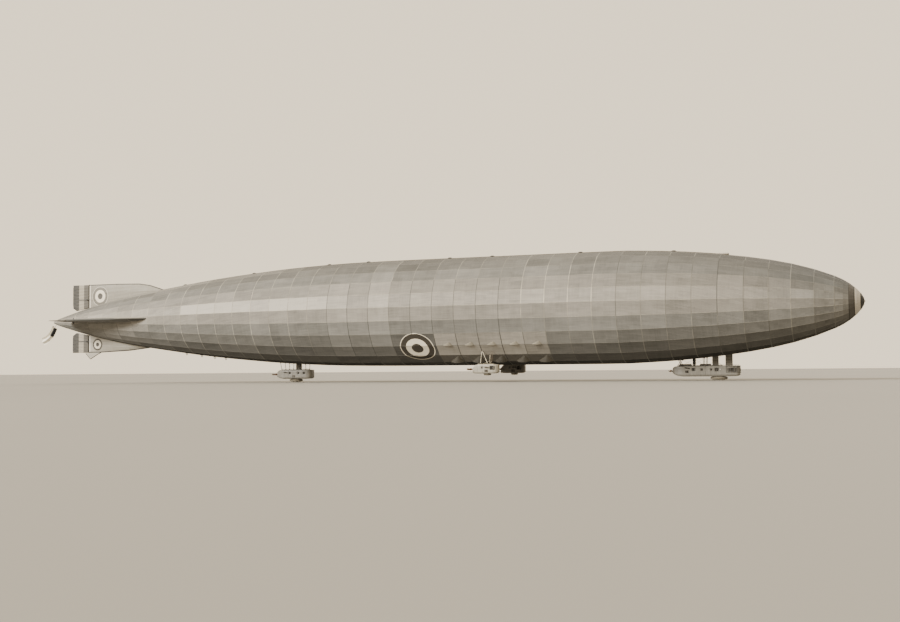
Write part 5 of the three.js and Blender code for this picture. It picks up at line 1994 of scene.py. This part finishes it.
def make_trunk(node, front, rear, half, roof, cloth, dark_cloth):
    """Canvas laced over hoops, drawn in between them, from the car's roof up to the hull."""
    middle = (front + rear) / 2
    top = -hull_radius(x_at(middle)) + 0.02
    bottom = roof + 0.001
    hoops, per_side, corner = 4, 8, 0.008
    rows = []
    for k in range(hoops * 8 + 1):
        share = k / (hoops * 8)
        z = bottom + (top - bottom) * share
        pull = 0.0045 * abs(sin(pi * share * hoops)) ** 0.8
        hx, hy = (rear - front) / 2 - 0.001, half - 0.001
        ring = []
        quarters = [(1, 1), (-1, 1), (-1, -1), (1, -1)]
        for start, (side_x, side_y) in enumerate(quarters):
            bend = [pi / 2 * (start + j / 3) for j in range(4)]
            ring += [(side_x * (hx - corner) + corner * cos(turn),
                      side_y * (hy - corner) + corner * sin(turn))
                     for turn in bend]
            out = (cos(pi / 2 * (start + 1)), sin(pi / 2 * (start + 1)))
            next_x, next_y = quarters[(start + 1) % 4]
            a, b = ring[-1], (next_x * (hx - corner) + corner * out[0],
                              next_y * (hy - corner) + corner * out[1])
            for j in range(1, per_side):
                t = j / per_side
                dip = pull * sin(pi * t)
                ring.append((a[0] + (b[0] - a[0]) * t - out[0] * dip,
                             a[1] + (b[1] - a[1]) * t - out[1] * dip))
        rows.append([Vector((x_at(middle) + x, y, z)) for x, y in ring])
    points, faces = loft(rows, ends=False)
    tube = make_piece("canvas_" + node, points, faces, cloth, slot="canvas", sharp_angle=70)
    outward(tube.data)
    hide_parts(node)
    trim = Parts()
    for k in range(hoops + 1):
        z = min(bottom + (top - bottom) * k / hoops, top - 0.008)
        ring = rows[0] if k == 0 else rows[k * 8]
        path = [Vector((p.x, p.y, z + 0.001)) for p in ring]
        centre = sum(path, Vector()) / len(path)
        outer = [centre + (p - centre) * 1.012 for p in path]
        trim.put(loft([[p + Vector((0, 0, dz)) for p in (outer if wide else path)] for dz, wide in
                       ((0.0, False), (0.0005, True), (0.0045, True), (0.005, False))], ends=False), 0)
    for sx in (-1, 1):
        for sy in (-1, 1):
            x, y = x_at(middle) + sx * ((rear - front) / 2 - 0.001), sy * (half - 0.001)
            trim.put(rod([(x, y, bottom + 0.001), (x, y, top - 0.006)], 0.0032, 8), 0)
    trim.piece("hoops_" + node, [dark_cloth], slot="canvas", sharp_angle=50)


# Air bags under the cars: node, distance, side, bottom of the car, half length, half width, depth
BAGS = [("bag_forward", 2.860, 0.0, CABIN_BOTTOM, 0.190, 0.110, 0.072),
        ("bag_aft", 12.620, 0.0, AFT_BOTTOM, 0.180, 0.110, 0.070),
        ("bag_starboard", 7.560, -WING_SIDE, WING_BOTTOM, 0.090, 0.060, 0.040),
        ("bag_port", 7.560, WING_SIDE, WING_BOTTOM, 0.090, 0.060, 0.040)]


# Frames that the bags' simulation runs for, and places of the webbing bands as shares of the half length
BAG_FRAMES = 15
BAG_BANDS = (-0.5, 0.0, 0.5)


def bag_shape(half_length, half_width, depth):
    """A slack bag about the middle of its top: full sides, drawn in at the lacing on top."""
    levels = [(0.02, 0.70), (0.08, 0.82), (0.2, 0.92), (0.45, 0.955), (0.7, 0.88), (0.88, 0.66),
              (0.955, 0.44), (0.985, 0.2)]
    loops = []
    for down, wide in levels:
        loops.append([Vector((wide * half_length * cos(2 * pi * k / 40),
                              wide * half_width * sin(2 * pi * k / 40), -down * depth)) for k in range(40)])
    return loft(loops)


def make_bag(node, distance, side, bottom, half_length, half_width, depth, cloth, strap):
    """An air bag of proofed cloth, blown up in a short simulation, with webbing bands and a laced top
    edge.
    """
    points, faces = bag_shape(half_length, half_width, depth)
    origin = Vector((x_at(distance), side, bottom - 0.001))
    mesh = bpy.data.meshes.new("bag")
    mesh.from_pydata([tuple(p + origin) for p in points], [], faces)
    outward(mesh)
    holder = linked("bag", mesh)
    fine = holder.modifiers.new("voxels", "REMESH")
    fine.mode = "VOXEL"
    fine.voxel_size = 0.006 if half_length > 0.1 else 0.004
    ready = holder.evaluated_get(bpy.context.evaluated_depsgraph_get())
    start = bpy.data.meshes.new_from_object(ready)
    bpy.data.objects.remove(holder)
    first = np.array([v.co for v in start.vertices])
    shape = linked("bag", start)
    group = shape.vertex_groups.new(name="laced")
    held = [int(k) for k in np.nonzero(first[:, 2] > bottom - 0.004)[0]]
    group.add(held, 1.0, "REPLACE")
    cloth_settings = shape.modifiers.new("cloth", "CLOTH")
    cloth_settings.settings.use_pressure = True
    cloth_settings.settings.uniform_pressure_force = 4.0
    cloth_settings.settings.effector_weights.gravity = 0
    cloth_settings.settings.vertex_group_mass = "laced"
    cloth_settings.settings.quality = 5
    for number in range(1, BAG_FRAMES + 1):
        bpy.context.scene.frame_set(number)
    ready = shape.evaluated_get(bpy.context.evaluated_depsgraph_get())
    blown = np.array([v.co for v in ready.to_mesh().vertices])
    move = blown - first
    reach = np.linalg.norm(move, axis=1, keepdims=True)
    cap = 0.005 if half_length > 0.1 else 0.003
    move *= np.minimum(1.0, cap / np.maximum(reach, 1e-9))
    ready.to_mesh_clear()
    shape.modifiers.clear()
    first = first + move
    bpy.context.scene.frame_set(1)
    bpy.data.objects.remove(shape)
    deep = bottom - 0.0005 - depth
    first[:, 2] = np.clip(first[:, 2], deep, bottom - 0.0006)
    first[:, 0] = np.clip(first[:, 0], x_at(distance) - half_length, x_at(distance) + half_length)
    first[:, 1] = np.clip(first[:, 1], side - half_width, side + half_width)
    # Webbing bands draw the cloth in where they pass over it
    for share in BAG_BANDS:
        away = np.abs(first[:, 0] - (x_at(distance) + share * half_length))
        pull = np.clip(1 - away / 0.02, 0, 1) ** 2 * 0.05
        first[:, 1] = side + (first[:, 1] - side) * (1 - pull)
        low = np.clip((bottom - first[:, 2]) / depth, 0, 1)
        first[:, 2] += pull * low * depth
    start.vertices.foreach_set("co", first.astype(np.float32).ravel())
    start.materials.append(cloth)
    start.polygons.foreach_set("use_smooth", [True] * len(start.polygons))
    start.name = "air_" + node
    bag = placed("air_" + node, start)
    smooth = bag.modifiers.new("soft", "SUBSURF")
    smooth.levels = smooth.render_levels = 1
    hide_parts(node)

    bands = Parts()
    for share in BAG_BANDS:
        x = x_at(distance) + share * half_length
        near = first[np.abs(first[:, 0] - x) < 0.006]
        rows = []
        for step in range(25):
            turn = pi * step / 24
            way = np.array([cos(turn), -sin(turn)])
            centre = np.array([side, bottom - depth * 0.4])
            flat = near[:, 1:] - centre
            direction = flat / np.linalg.norm(flat, axis=1, keepdims=True)
            weight = direction @ way
            pick = flat[np.argsort(-weight)[:5]]
            reach = float(np.mean(np.linalg.norm(pick, axis=1))) + 0.0012
            spot = centre + way * reach
            rows.append([Vector((x + dx, spot[0] + way[0] * lift, spot[1] + way[1] * lift))
                         for dx, lift in ((-0.009, -0.001), (-0.0085, 0.0004), (0.0085, 0.0004),
                                 (0.009, -0.001))])
        bands.put(sheet_of(rows))
    bands.piece("webbing_" + node, [strap], slot="canvas", sharp_angle=50)


# Walkway on the ridge: node, distances of its ends, distances of its hoods
WALKWAYS = [("ridge_walkway_fore", 2.745, 9.245, [3.745, 5.745, 7.745, 8.745]),
            ("ridge_walkway_aft", 9.245, 15.745, [10.745, 11.745, 13.745, 15.660])]


def make_walkway(node, front, rear, hoods, cloth, trim, rope):
    """A strip of proofed canvas over boards, with battens along its edges and cowls over the gas valves."""
    marks = list(np.linspace(front, rear, int((rear - front) / 0.09) + 1))
    rows = []
    for k, d in enumerate(marks):
        top = hull_radius(x_at(d)) + 0.0004
        low = top - 0.030 * tan(pi / FACETS) - 0.004
        swell = 0.0012 * sin(pi * (k % 2))
        rows.append([Vector((x_at(d), y, z)) for y, z in
                     ((0.030, low), (0.0296, top + 0.0028), (0.019, top + 0.0074),
                      (0.008, top + 0.0078 + swell),
                      (-0.008, top + 0.0078 + swell), (-0.019, top + 0.0074), (-0.0296, top + 0.0028),
                      (-0.030, low))])
    strip = Parts()
    strip.put(loft(rows))
    for hand in (-1, 1):
        strip.put(rod([(x_at(d), hand * 0.0262, hull_radius(x_at(d)) + 0.0056) for d in marks], 0.0022, 6), 1)
    for d in hoods:
        base = hull_radius(x_at(d)) + 0.002
        loops = []
        for k in range(13):
            along = -1 + 2 * k / 12
            rise = 0.006 + 0.021 * (1 - abs(along) ** 2.4)
            wide = 0.020 + 0.013 * (1 - abs(along) ** 2.0)
            loop = [Vector((x_at(d) + along * 0.059, wide * cos(turn), base + rise * sin(turn)))
                    for turn in np.linspace(0, pi, 11)]
            loops.append(loop + [Vector((loop[0].x, -wide * 0.9, base - 0.008)),
                                 Vector((loop[0].x, wide * 0.9, base - 0.008))])
        strip.put(loft(loops), 1)
        strip.put(rod([(x_at(d) + 0.059 * cos(t), 0.0345 * sin(t), base + 0.0005)
                       for t in np.linspace(0, 2 * pi, 25)], 0.0016, 6), 1)
    made = strip.piece(node.replace("ridge_", "") + "_canvas", [cloth, trim], slot="canvas", sharp_angle=40)
    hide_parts(node)
    line = Parts()
    posts = list(np.arange(front + 0.25, rear - 0.1, 0.5))
    for d in posts:
        top = hull_radius(x_at(d)) + 0.006
        line.put(rod([(x_at(d), 0.022, top), (x_at(d), 0.022, top + 0.0075)], 0.0014, 6), 1)
    sagging = []
    for a, b in zip(posts, posts[1:]):
        for j in range(6):
            d = a + (b - a) * j / 6
            sagging.append((x_at(d), 0.022, hull_radius(x_at(d)) + 0.013 - 0.004 * sin(pi * j / 6)))
    sagging.append((x_at(posts[-1]), 0.022, hull_radius(x_at(posts[-1])) + 0.013))
    line.put(rod(sagging, 0.0011, 6), 0)
    line.piece(node.replace("ridge_", "") + "_lifeline", [rope, trim], slot="canvas")


def make_platform(cloth, trim, wood):
    """The look-out platform on the ridge: a shallow canvas-sided tray with a boarded floor and a rail."""
    x0, x1, half = x_at(2.800), x_at(2.620), 0.070
    foot, top = hull_radius(x_at(2.700)) - 0.012, hull_radius(x_at(2.700)) + 0.012
    parts = Parts()
    parts.put(block((x0, -half, foot), (x1, half, top), 0.002), 0)
    for k in range(9):
        y = -half + 0.008 + k * 0.0155
        parts.put(block((x0 + 0.004, y, top - 0.001), (x1 - 0.004, y + 0.0135, top + 0.002), 0.0008), 1)
    rail = top + 0.0135
    corners = [(x0 + 0.003, -half + 0.003), (x1 - 0.003, -half + 0.003), (x1 - 0.003, half - 0.003),
               (x0 + 0.003, half - 0.003)]
    for k in range(4):
        a, b = corners[k], corners[(k + 1) % 4]
        parts.put(rod([(a[0], a[1], rail), (b[0], b[1], rail)], 0.0016, 8), 2)
        for j in range(4):
            x, y = a[0] + (b[0] - a[0]) * j / 4, a[1] + (b[1] - a[1]) * j / 4
            parts.put(rod([(x, y, top - 0.001), (x, y, rail)], 0.0014, 6), 2)
    parts.piece("lookout_platform", [cloth, wood, trim], slot="canvas", sharp_angle=35)


# Fitting out the cars

def lamp(parts, at, way, radius):
    """A round side lamp: a short barrel with a rim and a domed lens."""
    a = Vector(at)
    way = Vector(way).normalized()
    parts.put(turned_on(a - way * 0.002, a + way * 0.010, [(0, radius * 0.9), (0.1, radius), (0.85, radius),
                                                          (0.92, radius + 0.0012), (1, radius + 0.0012)], 20),
                                                                  0)
    parts.put(turned_on(a + way * 0.0095, a + way * 0.0135,
                        [(0, radius * 0.97), (0.5, radius * 0.8), (0.85, radius * 0.45),
                                                            (1, 0.0008)], 20), 1)


def exhaust(parts, at, way, rise):
    """A stub exhaust with a flange and a silencer, turned aft at its end."""
    a = Vector(at)
    way = Vector(way).normalized()
    parts.put(turned_on(a - way * 0.001, a + way * 0.004,
                        [(0, 0.0105), (0.2, 0.0115), (0.8, 0.0115), (1, 0.0105)], 16))
    bend = [a + way * 0.002, a + way * 0.014, a + way * 0.020 + Vector((-0.006, 0, rise * 0.25)),
            a + way * 0.021 + Vector((-0.020, 0, rise * 0.7)), a + way * 0.021 + Vector((-0.040, 0, rise))]
    parts.put(rod(bend, 0.0062, 12))
    start = bend[-1]
    parts.put(turned_on(start, start + Vector((-0.052, 0, rise * 0.2)),
                        [(0, 0.0066), (0.06, 0.0105), (0.9, 0.0105), (0.96, 0.0070), (1, 0.0064)], 14))


def louvres(parts, x, side, hand, half, low, count, length):
    """A bank of pressed louvres that lets heat out of an engine's space."""
    for k in range(count):
        z = low + k * 0.0085
        rows = []
        for dx in (-length / 2, -length / 2 + 0.004, length / 2 - 0.004, length / 2):
            lift = 0.0035 if abs(dx) < length / 2 - 0.001 else 0.0
            rows.append([Vector((x + dx, side + hand * (half + 0.0003), z + 0.0062)),
                         Vector((x + dx, side + hand * (half + 0.0003 + lift), z + 0.0022)),
                         Vector((x + dx, side + hand * (half + 0.0003 + lift * 0.9), z)),
                         Vector((x + dx, side + hand * (half - 0.0012), z))])
        parts.put(sheet_of(rows))


def handrail(parts, x0, x1, y, roof, height, posts):
    """A rail on stanchions with ball ends."""
    parts.put(rod([(x0, y, roof + height), (x1, y, roof + height)], 0.0014, 8))
    for k in range(posts):
        x = x0 + (x1 - x0) * (k + 0.5) / posts
        parts.put(rod([(x, y, roof - 0.001), (x, y, roof + height)], 0.0012, 8))
        parts.put(turned_on((x, y, roof - 0.0005), (x, y, roof + 0.003),
                            [(0, 0.0036), (0.5, 0.0034), (1, 0.0016)], 10))


# Car: name, sections, windows, side, nodes without their panels' names, paint
CARS = [
    ("control_cabin_plating", CABIN_ROWS, CABIN_WINDOWS, 0.0, "control_cabin", "grey"),
    ("engine_room_plating", ENGINE_ROOM_ROWS, ENGINE_WINDOWS, 0.0, "engine_room", "grey"),
    ("wing_car_starboard_plating", WING_ROWS, WING_WINDOWS, -WING_SIDE, "wing_car_starboard", "cream"),
    # The port wing car, the far one, takes the darker paint: painted shade of the hull's shadow
    ("wing_car_port_plating", WING_ROWS, WING_WINDOWS, WING_SIDE, "wing_car_port", "dark"),
    ("aft_car_plating", AFT_ROWS, AFT_WINDOWS, 0.0, "aft_car", "grey"),
]
PANELS = ("floor", "side_port", "side_starboard", "roof")


def make_cars(paints, dark_paint, cover_paint, glass, steel, lens):
    """Plating, windows, rivets and fittings of all the cars."""
    frames, panes = Parts(), Parts()
    fittings, lamps = Parts(), Parts()
    spots, ways = [], []
    for name, rows, windows, side, car, paint in CARS:
        nodes = [f"{car}_{panel}" for panel in PANELS]
        make_car_body(name, rows, windows, side, paints[paint], nodes, WINDSCREEN
                      if car == "control_cabin" else None)
        window_parts(rows, windows, side, frames, panes)
        trim = Parts()
        car_trim(rows, side, trim)
        trim.piece(car + "_straps", [paints[paint]], slot="car_shell", sharp_angle=40)
        more, facing = rivet_rows(rows, side, 0.12)
        spots += more
        ways += facing
    windscreen_parts(frames, panes)
    glazing_rails(frames)
    frames.piece("window_frames", [dark_paint], slot="strut", sharp_angle=35)
    panes.piece("window_panes", [glass], slot="car_shell", sharp_angle=35)
    grown("rivet_heads", spots, [], {"facing": ways}, rivet_tree(), {"Steel": steel})
    for row in COVERS:
        make_cover(*row, cover_paint)

    for hand in (-1, 1):
        exhaust(fittings, (x_at(3.445), hand * 0.1245, -1.305), (0, hand, 0), 0.012)
        louvres(fittings, x_at(3.500), 0.0, hand, 0.125, -1.395, 6, 0.070)
        lamp(lamps, (x_at(2.820), hand * 0.1245, -1.325), (0, hand, 0), 0.010)
        for side in (-WING_SIDE, WING_SIDE):
            half = smooth_row(WING_ROWS, 7.560)[0]
            louvres(fittings, x_at(7.560), side, hand, half, -1.345, 6, 0.080)
            exhaust(fittings, (x_at(7.500), side + hand * (half - 0.0005), -1.255), (0, hand, 0), 0.010)
        louvres(fittings, x_at(12.620), 0.0, hand, 0.140, -1.440, 6, 0.080)
        exhaust(fittings, (x_at(12.790), hand * 0.1395, -1.330), (0, hand, 0), 0.014)
    for y in (0.040, -0.040):
        lamp(lamps, (x_at(2.4315), y, -1.400), (1, 0, 0), 0.008)
    for hand in (-1, 1):
        handrail(fittings, x_at(2.580), x_at(2.450), hand * 0.052, CABIN_TOP, 0.022, 4)
        handrail(fittings, x_at(2.860), x_at(2.725), hand * 0.060, CABIN_TOP, 0.022, 4)
        handrail(fittings, x_at(12.480), x_at(12.230), hand * 0.060, AFT_TOP, 0.022, 6)
    fittings.piece("car_fittings", [steel], slot="strut", sharp_angle=35)
    lamps.piece("side_lamps", [steel, lens], slot="strut", sharp_angle=40)


def tail_cords(wire, steel):
    """Control cables from the rudder and elevator levers forward to guides on the fins."""
    parts = Parts()
    for _, moving, table, _, degrees, _ in TAIL:
        local = np.array([about_hull(p, -degrees) for p in rows_of(moving)])
        front = local[np.abs(local[:, 0] - x_at(SURFACE_FRONT)) < 0.0005]
        lever = front[:, 2].min() + (front[:, 2].max() - front[:, 2].min()) * LEVER_SHARE
        for hand in (1, -1):
            guide = (x_at(17.30), hand * (fin_half(table, 17.30, lever) + 0.006), lever)
            bracket = [about_hull((guide[0] + dx, hand * (abs(guide[1]) + dy), lever), degrees)
                       for dx, dy in ((0.012, -0.009), (0.0, 0.001), (-0.012, -0.009))]
            parts.put(rod(bracket, 0.0022, 8), 1)
            near = (x_at(18.470), hand * 0.064, lever)
            parts.put(rod([about_hull(guide, degrees), about_hull(near, degrees)], 0.0011, 6), 0)
            post = [(x_at(18.472), hand * 0.018, lever), (x_at(18.470), hand * 0.040, lever + 0.001),
                    (x_at(18.468), hand * 0.067, lever)]
            parts.put(rod([about_hull(p, degrees) for p in post], 0.0026, 8), 1)
    parts.piece("control_cables", [wire, steel], slot="strut", sharp_angle=40)


def make_nose(steel, brass):
    """Mooring fittings on the flat of the bow cap: a ring plate with bolts and a short spindle with its
    eye.
    """
    x = max(rows_of("bow_cap")[:, 0])
    parts = Parts()
    parts.put(turned_on((x - 0.0005, 0, 0), (x + 0.006, 0, 0),
                        [(0, 0.030), (0.0, 0.040), (0.6, 0.040), (1, 0.037), (1, 0.012)], 28))
    parts.put(turned_on((x, 0, 0), (x + 0.016, 0, 0), [(0, 0.013), (0.5, 0.012), (0.6, 0.009), (1, 0.008)],
                        20))
    for k in range(10):
        turn = 2 * pi * k / 10
        at = Vector((x + 0.0055, 0.030 * cos(turn), 0.030 * sin(turn)))
        parts.put(turned_on(at, at + Vector((0.004, 0, 0)), [(0, 0.0034), (0.7, 0.0034), (1, 0.0022)], 6))
    eye = [(x + 0.018 + 0.010 * cos(t), 0, 0.010 * sin(t)) for t in np.linspace(0, 2 * pi, 21)]
    parts.put(rod(eye, 0.0024, 8), 1)
    parts.piece("mooring_fittings", [steel, brass], slot="strut", sharp_angle=35)


def make_keel_rings(steel):
    """Plates with a ring each, bolted under the keel."""
    parts = Parts()
    for s in (14.520, 14.830, 15.190, 15.615):
        keel = hull_point(x_at(s), FACETS / 2)
        parts.put(block((keel.x - 0.034, -0.022, keel.z - 0.008), (keel.x + 0.034, 0.022, keel.z + 0.004),
                        0.0015))
        ring = [(keel.x + 0.021 * sin(t), 0, keel.z - 0.027 - 0.021 * cos(t))
                for t in np.linspace(0, 2 * pi, 21)]
        parts.put(rod(ring, 0.0060, 8))
        for side in (-1, 1):
            at = Vector((keel.x + side * 0.027, 0, keel.z - 0.007))
            parts.put(turned_on(at, at - Vector((0, 0, 0.004)), [(0, 0.0035), (0.6, 0.0035), (1, 0.002)], 6))
    parts.piece("keel_rings", steel, slot="strut", sharp_angle=40)


# Head of the ensign's staff, length and width of its cloth
ENSIGN_HEAD = Vector((-9.765, 0, -0.130))
ENSIGN_FLY = 0.520
ENSIGN_HOIST = 0.250


def make_ensign(cloths, steel):
    """A plain bunting ensign that hangs in folds from a short staff under the tail cone."""
    foot = Vector((-9.700, 0, -0.030))
    parts = Parts()
    parts.put(rod([foot, ENSIGN_HEAD], 0.0035, 8))
    parts.put(turned_on(ENSIGN_HEAD, ENSIGN_HEAD + (ENSIGN_HEAD - foot).normalized() * 0.012,
                        [(0, 0.003), (0.2, 0.007), (0.7, 0.007), (1, 0.002)], 12))
    for share in (0.72, 0.94):
        at = foot.lerp(ENSIGN_HEAD, share)
        loop = [at + Vector((0.008 * cos(t), 0.008 * sin(t), 0)) for t in np.linspace(0, 2 * pi, 13)]
        parts.put(rod(loop, 0.0016, 6, along=Vector((0, 0, 1))))
    spine = ENSIGN_HEAD.copy()
    columns, threads = 60, 48
    step = ENSIGN_HOIST / threads
    rows = []
    for i in range(columns + 1):
        fly = i / columns
        slope = radians(56 - 34 * smooth_step(0.35, 1.0, fly))
        along, across = Vector((-cos(slope), 0, -sin(slope))), Vector((-sin(slope), 0, cos(slope)))
        spine = spine + along * (ENSIGN_FLY / columns if i else 0.0)
        swing, start = 1.18 + 0.12 * sin(4.1 * fly + 0.6), 0.5 * sin(2.4 * fly)
        at = Vector((0, 0))
        row = [at.copy()]
        for k in range(threads):
            turn = swing * cos(2 * pi * 1.5 * (k + 0.5) / threads + start)
            at = at + Vector((cos(turn), sin(turn))) * step
            row.append(at.copy())
        middle = sum(row, Vector((0, 0))) / len(row)
        sway = Vector((0, 0.018 * sin(5.0 * fly), 0))
        rows.append([spine + across * (p.x - middle.x)
                     + Vector((0, p.y - middle.y, 0)) + sway for p in row])
    parts.put(rod(rows[0], 0.0032, 6))
    parts.piece("ensign_staff", steel, slot="strut", sharp_angle=40)
    points, faces = sheet_of(rows)
    kinds = [0 if k // threads < 0.46 * columns and k % threads < 0.62 * threads else 1
             for k in range(len(faces))]
    ensign = make_piece("ensign", points, faces, cloths, slot="canvas", face_material=kinds)
    thicken(ensign, 0.0012)


# Triangular cloth hoods over the gas outlets: first and last bay, corner of their lower edge, distance aft of
# the
# frame, length, height up the hull, rise, how far forward the point sits along the length, cloth
HOODS = [(13, 17, 10.94, 0.015, 0.310, 0.245, 0.040, 0.80, 0),
         (13, 17, 8.985, 0.120, 0.220, 0.075, 0.026, 0.72, 1)]


def make_hoods(cloths):
    """Triangular hoods of cloth sewn over the gas outlets, point upward and open below."""
    parts = Parts()
    for first, last, corner, aft, length, tall, rise, lean, cloth in HOODS:
        for bay in range(first, last + 1):
            front = FRAMES[bay - 1] - aft
            for hand in (1, -1):
                loops = []
                for k in range(11):
                    up = k / 10
                    half = length / 2 * (1 - 0.97 * up)
                    middle = front - length / 2 + (lean - 0.5) * length * up
                    number = corner - up * tall / FACET_WIDTH
                    number = number if hand > 0 else FACETS - number
                    loop = []
                    for turn in np.linspace(0.02, pi - 0.02, 13):
                        base = hull_point(middle + half * cos(turn), number)
                        out = Vector((0, base.y, base.z)).normalized()
                        loop.append(base + out * (rise * (1 - up) ** 0.9 * sin(turn) ** 1.3 - 0.0015))
                    for side in (-1, 1):
                        base = hull_point(middle + half * 0.95 * side, number)
                        loop.append(base - Vector((0, base.y, base.z)).normalized() * 0.007)
                    loops.append(loop)
                parts.put(loft(loops), cloth)
    parts.piece("outlet_hoods", cloths, slot="envelope", sharp_angle=50)


def lens_glass():
    """Pressed glass of the lamps over a bright reflector."""
    material, tree, shader = new_material("pressed lamp glass", metallic=0.3, coat_weight=1.0,
            coat_roughness=0.03)
    coords = add(tree, "TexCoord").outputs["Object"]
    ridges = add(tree, "TexWave", {"Vector": coords, "Scale": 160.0}, bands_direction="Z").outputs["Fac"]
    colour = add(tree, "Mix", {"Factor": ridges, "A": linear("#c9c6ba"), "B": linear("#f2efe4")},
                 data_type="RGBA"
                 ).outputs["Result"]
    tree.links.new(colour, shader.inputs["Base Color"])
    tree.links.new(total(tree, 0.16, (ridges, 0.1)), shader.inputs["Roughness"])
    tree.links.new(add(tree, "Bump",
                       {"Height": ridges, "Strength": 0.4, "Distance": 0.0008}).outputs["Normal"],
                   shader.inputs["Normal"])
    return material


def make_everything():
    """Materials and pieces of everything but the hull's fabric."""
    tape = tape_fabric()
    steel = bare_steel("oiled steel", "#8f8b82", "#3a3733")
    dark_steel = bare_steel("blackened steel", "#4d4a45", "#1f1d1b", 0.45)
    brass = bare_steel("dulled sheet brass", "#c2a15c", "#6d5a33", 0.34)
    wire = stranded_wire()
    grey = painted_sheet("grey oil paint on alloy sheet", "#767269", "#434039", "#7d7a73")
    # A darker copy of the wing cars' paint for the far wing car: painted shade
    dark = painted_sheet("shade-darkened oil paint on alloy sheet", "#7a756b", "#45413a", "#7d7a73")
    cream = painted_sheet("cream oil paint on alloy sheet", "#928d80", "#6b675c", "#8a867d")
    dark_paint = painted_sheet("dark window paint", "#2b2924", "#191714", "#6d6a63")
    cover_paint = painted_sheet("dull cover paint", "#48443d", "#26231f", "#6d6a63")
    strut_grey = painted_sheet("dark grey strut enamel", "#2f2c27", "#191714", "#6d6a63")
    strut_cream = painted_sheet("cream strut enamel", "#c2bba8", "#857e6d", "#8b877e")
    make_tail(tape, dark_steel, strut_grey)
    glass = window_glass()
    make_cars({"grey": grey, "cream": cream, "dark": dark}, dark_paint, cover_paint, glass, dark_steel,
              lens_glass())
    legs = strut_legs()
    dress_struts(legs, strut_cream, strut_grey, dark_steel)
    make_stays(wire, steel)
    make_sleeves(legs, canvas_cloth("tarred sleeve canvas", "#26241f", "#14130f", 0.002), dark_steel)
    tail_cords(wire, dark_steel)
    make_nose(dark_steel, steel)
    make_keel_rings(dark_steel)
    make_ensign([canvas_cloth("dark bunting", "#34363a", "#1d1e21", 0.0012),
                 canvas_cloth("white bunting", "#e6e2d6", "#c4beb0", 0.0012)], dark_steel)
    trunk_cloth = canvas_cloth("weathered trunk canvas", "#6f6b62", "#423f39")
    hoop_cloth = canvas_cloth("tarred canvas over hoops", "#3f3a32", "#221f1b", 0.002)
    for row in TRUNKS:
        make_trunk(*row, trunk_cloth, hoop_cloth)
    bag_cloth = canvas_cloth("proofed air bag cloth", "#6f6858", "#3d382f", 0.002)
    webbing = canvas_cloth("flax webbing", "#8a8069", "#4f4839", 0.0016)
    for row in BAGS:
        make_bag(*row, bag_cloth, webbing)
    wood = laminated_wood()
    for row in PROPELLERS:
        make_propeller(*row, wood, brass, steel)
    casting = oily_casting()
    for row in ENGINES:
        make_engine(*row, casting, brass)
    walk_cloth = canvas_cloth("proofed walkway canvas", "#6b6455", "#3c372e")
    for row in WALKWAYS:
        make_walkway(*row, walk_cloth, hoop_cloth, webbing)
    make_platform(walk_cloth, dark_steel, webbing)
    # The hoods low on the hull take the darker cloth
    make_hoods([canvas_cloth("darker linen hoods", "#5d594f", "#47433b", 0.0016),
                canvas_cloth("pale linen hoods", "#7f796c", "#5f5a4f", 0.0016)])
    ladder_wood = canvas_cloth("tarred ladder ash", "#6b5a44", "#2f271e")
    rungs = rungs_tree()
    for hand, label in ((-1, "starboard"), (1, "port")):
        side = hand * WING_SIDE
        foot = (x_at(7.500), side - hand * 0.030, WING_TOP + 0.002)
        head = hull_crossing(foot, (x_at(7.520), hand * 0.72, -0.80))
        make_ladder("ladder_" + label, foot, head, (1, 0, 0), 0.045, rungs, ladder_wood)


make_stage()
make_camera()
make_envelope()
make_everything()
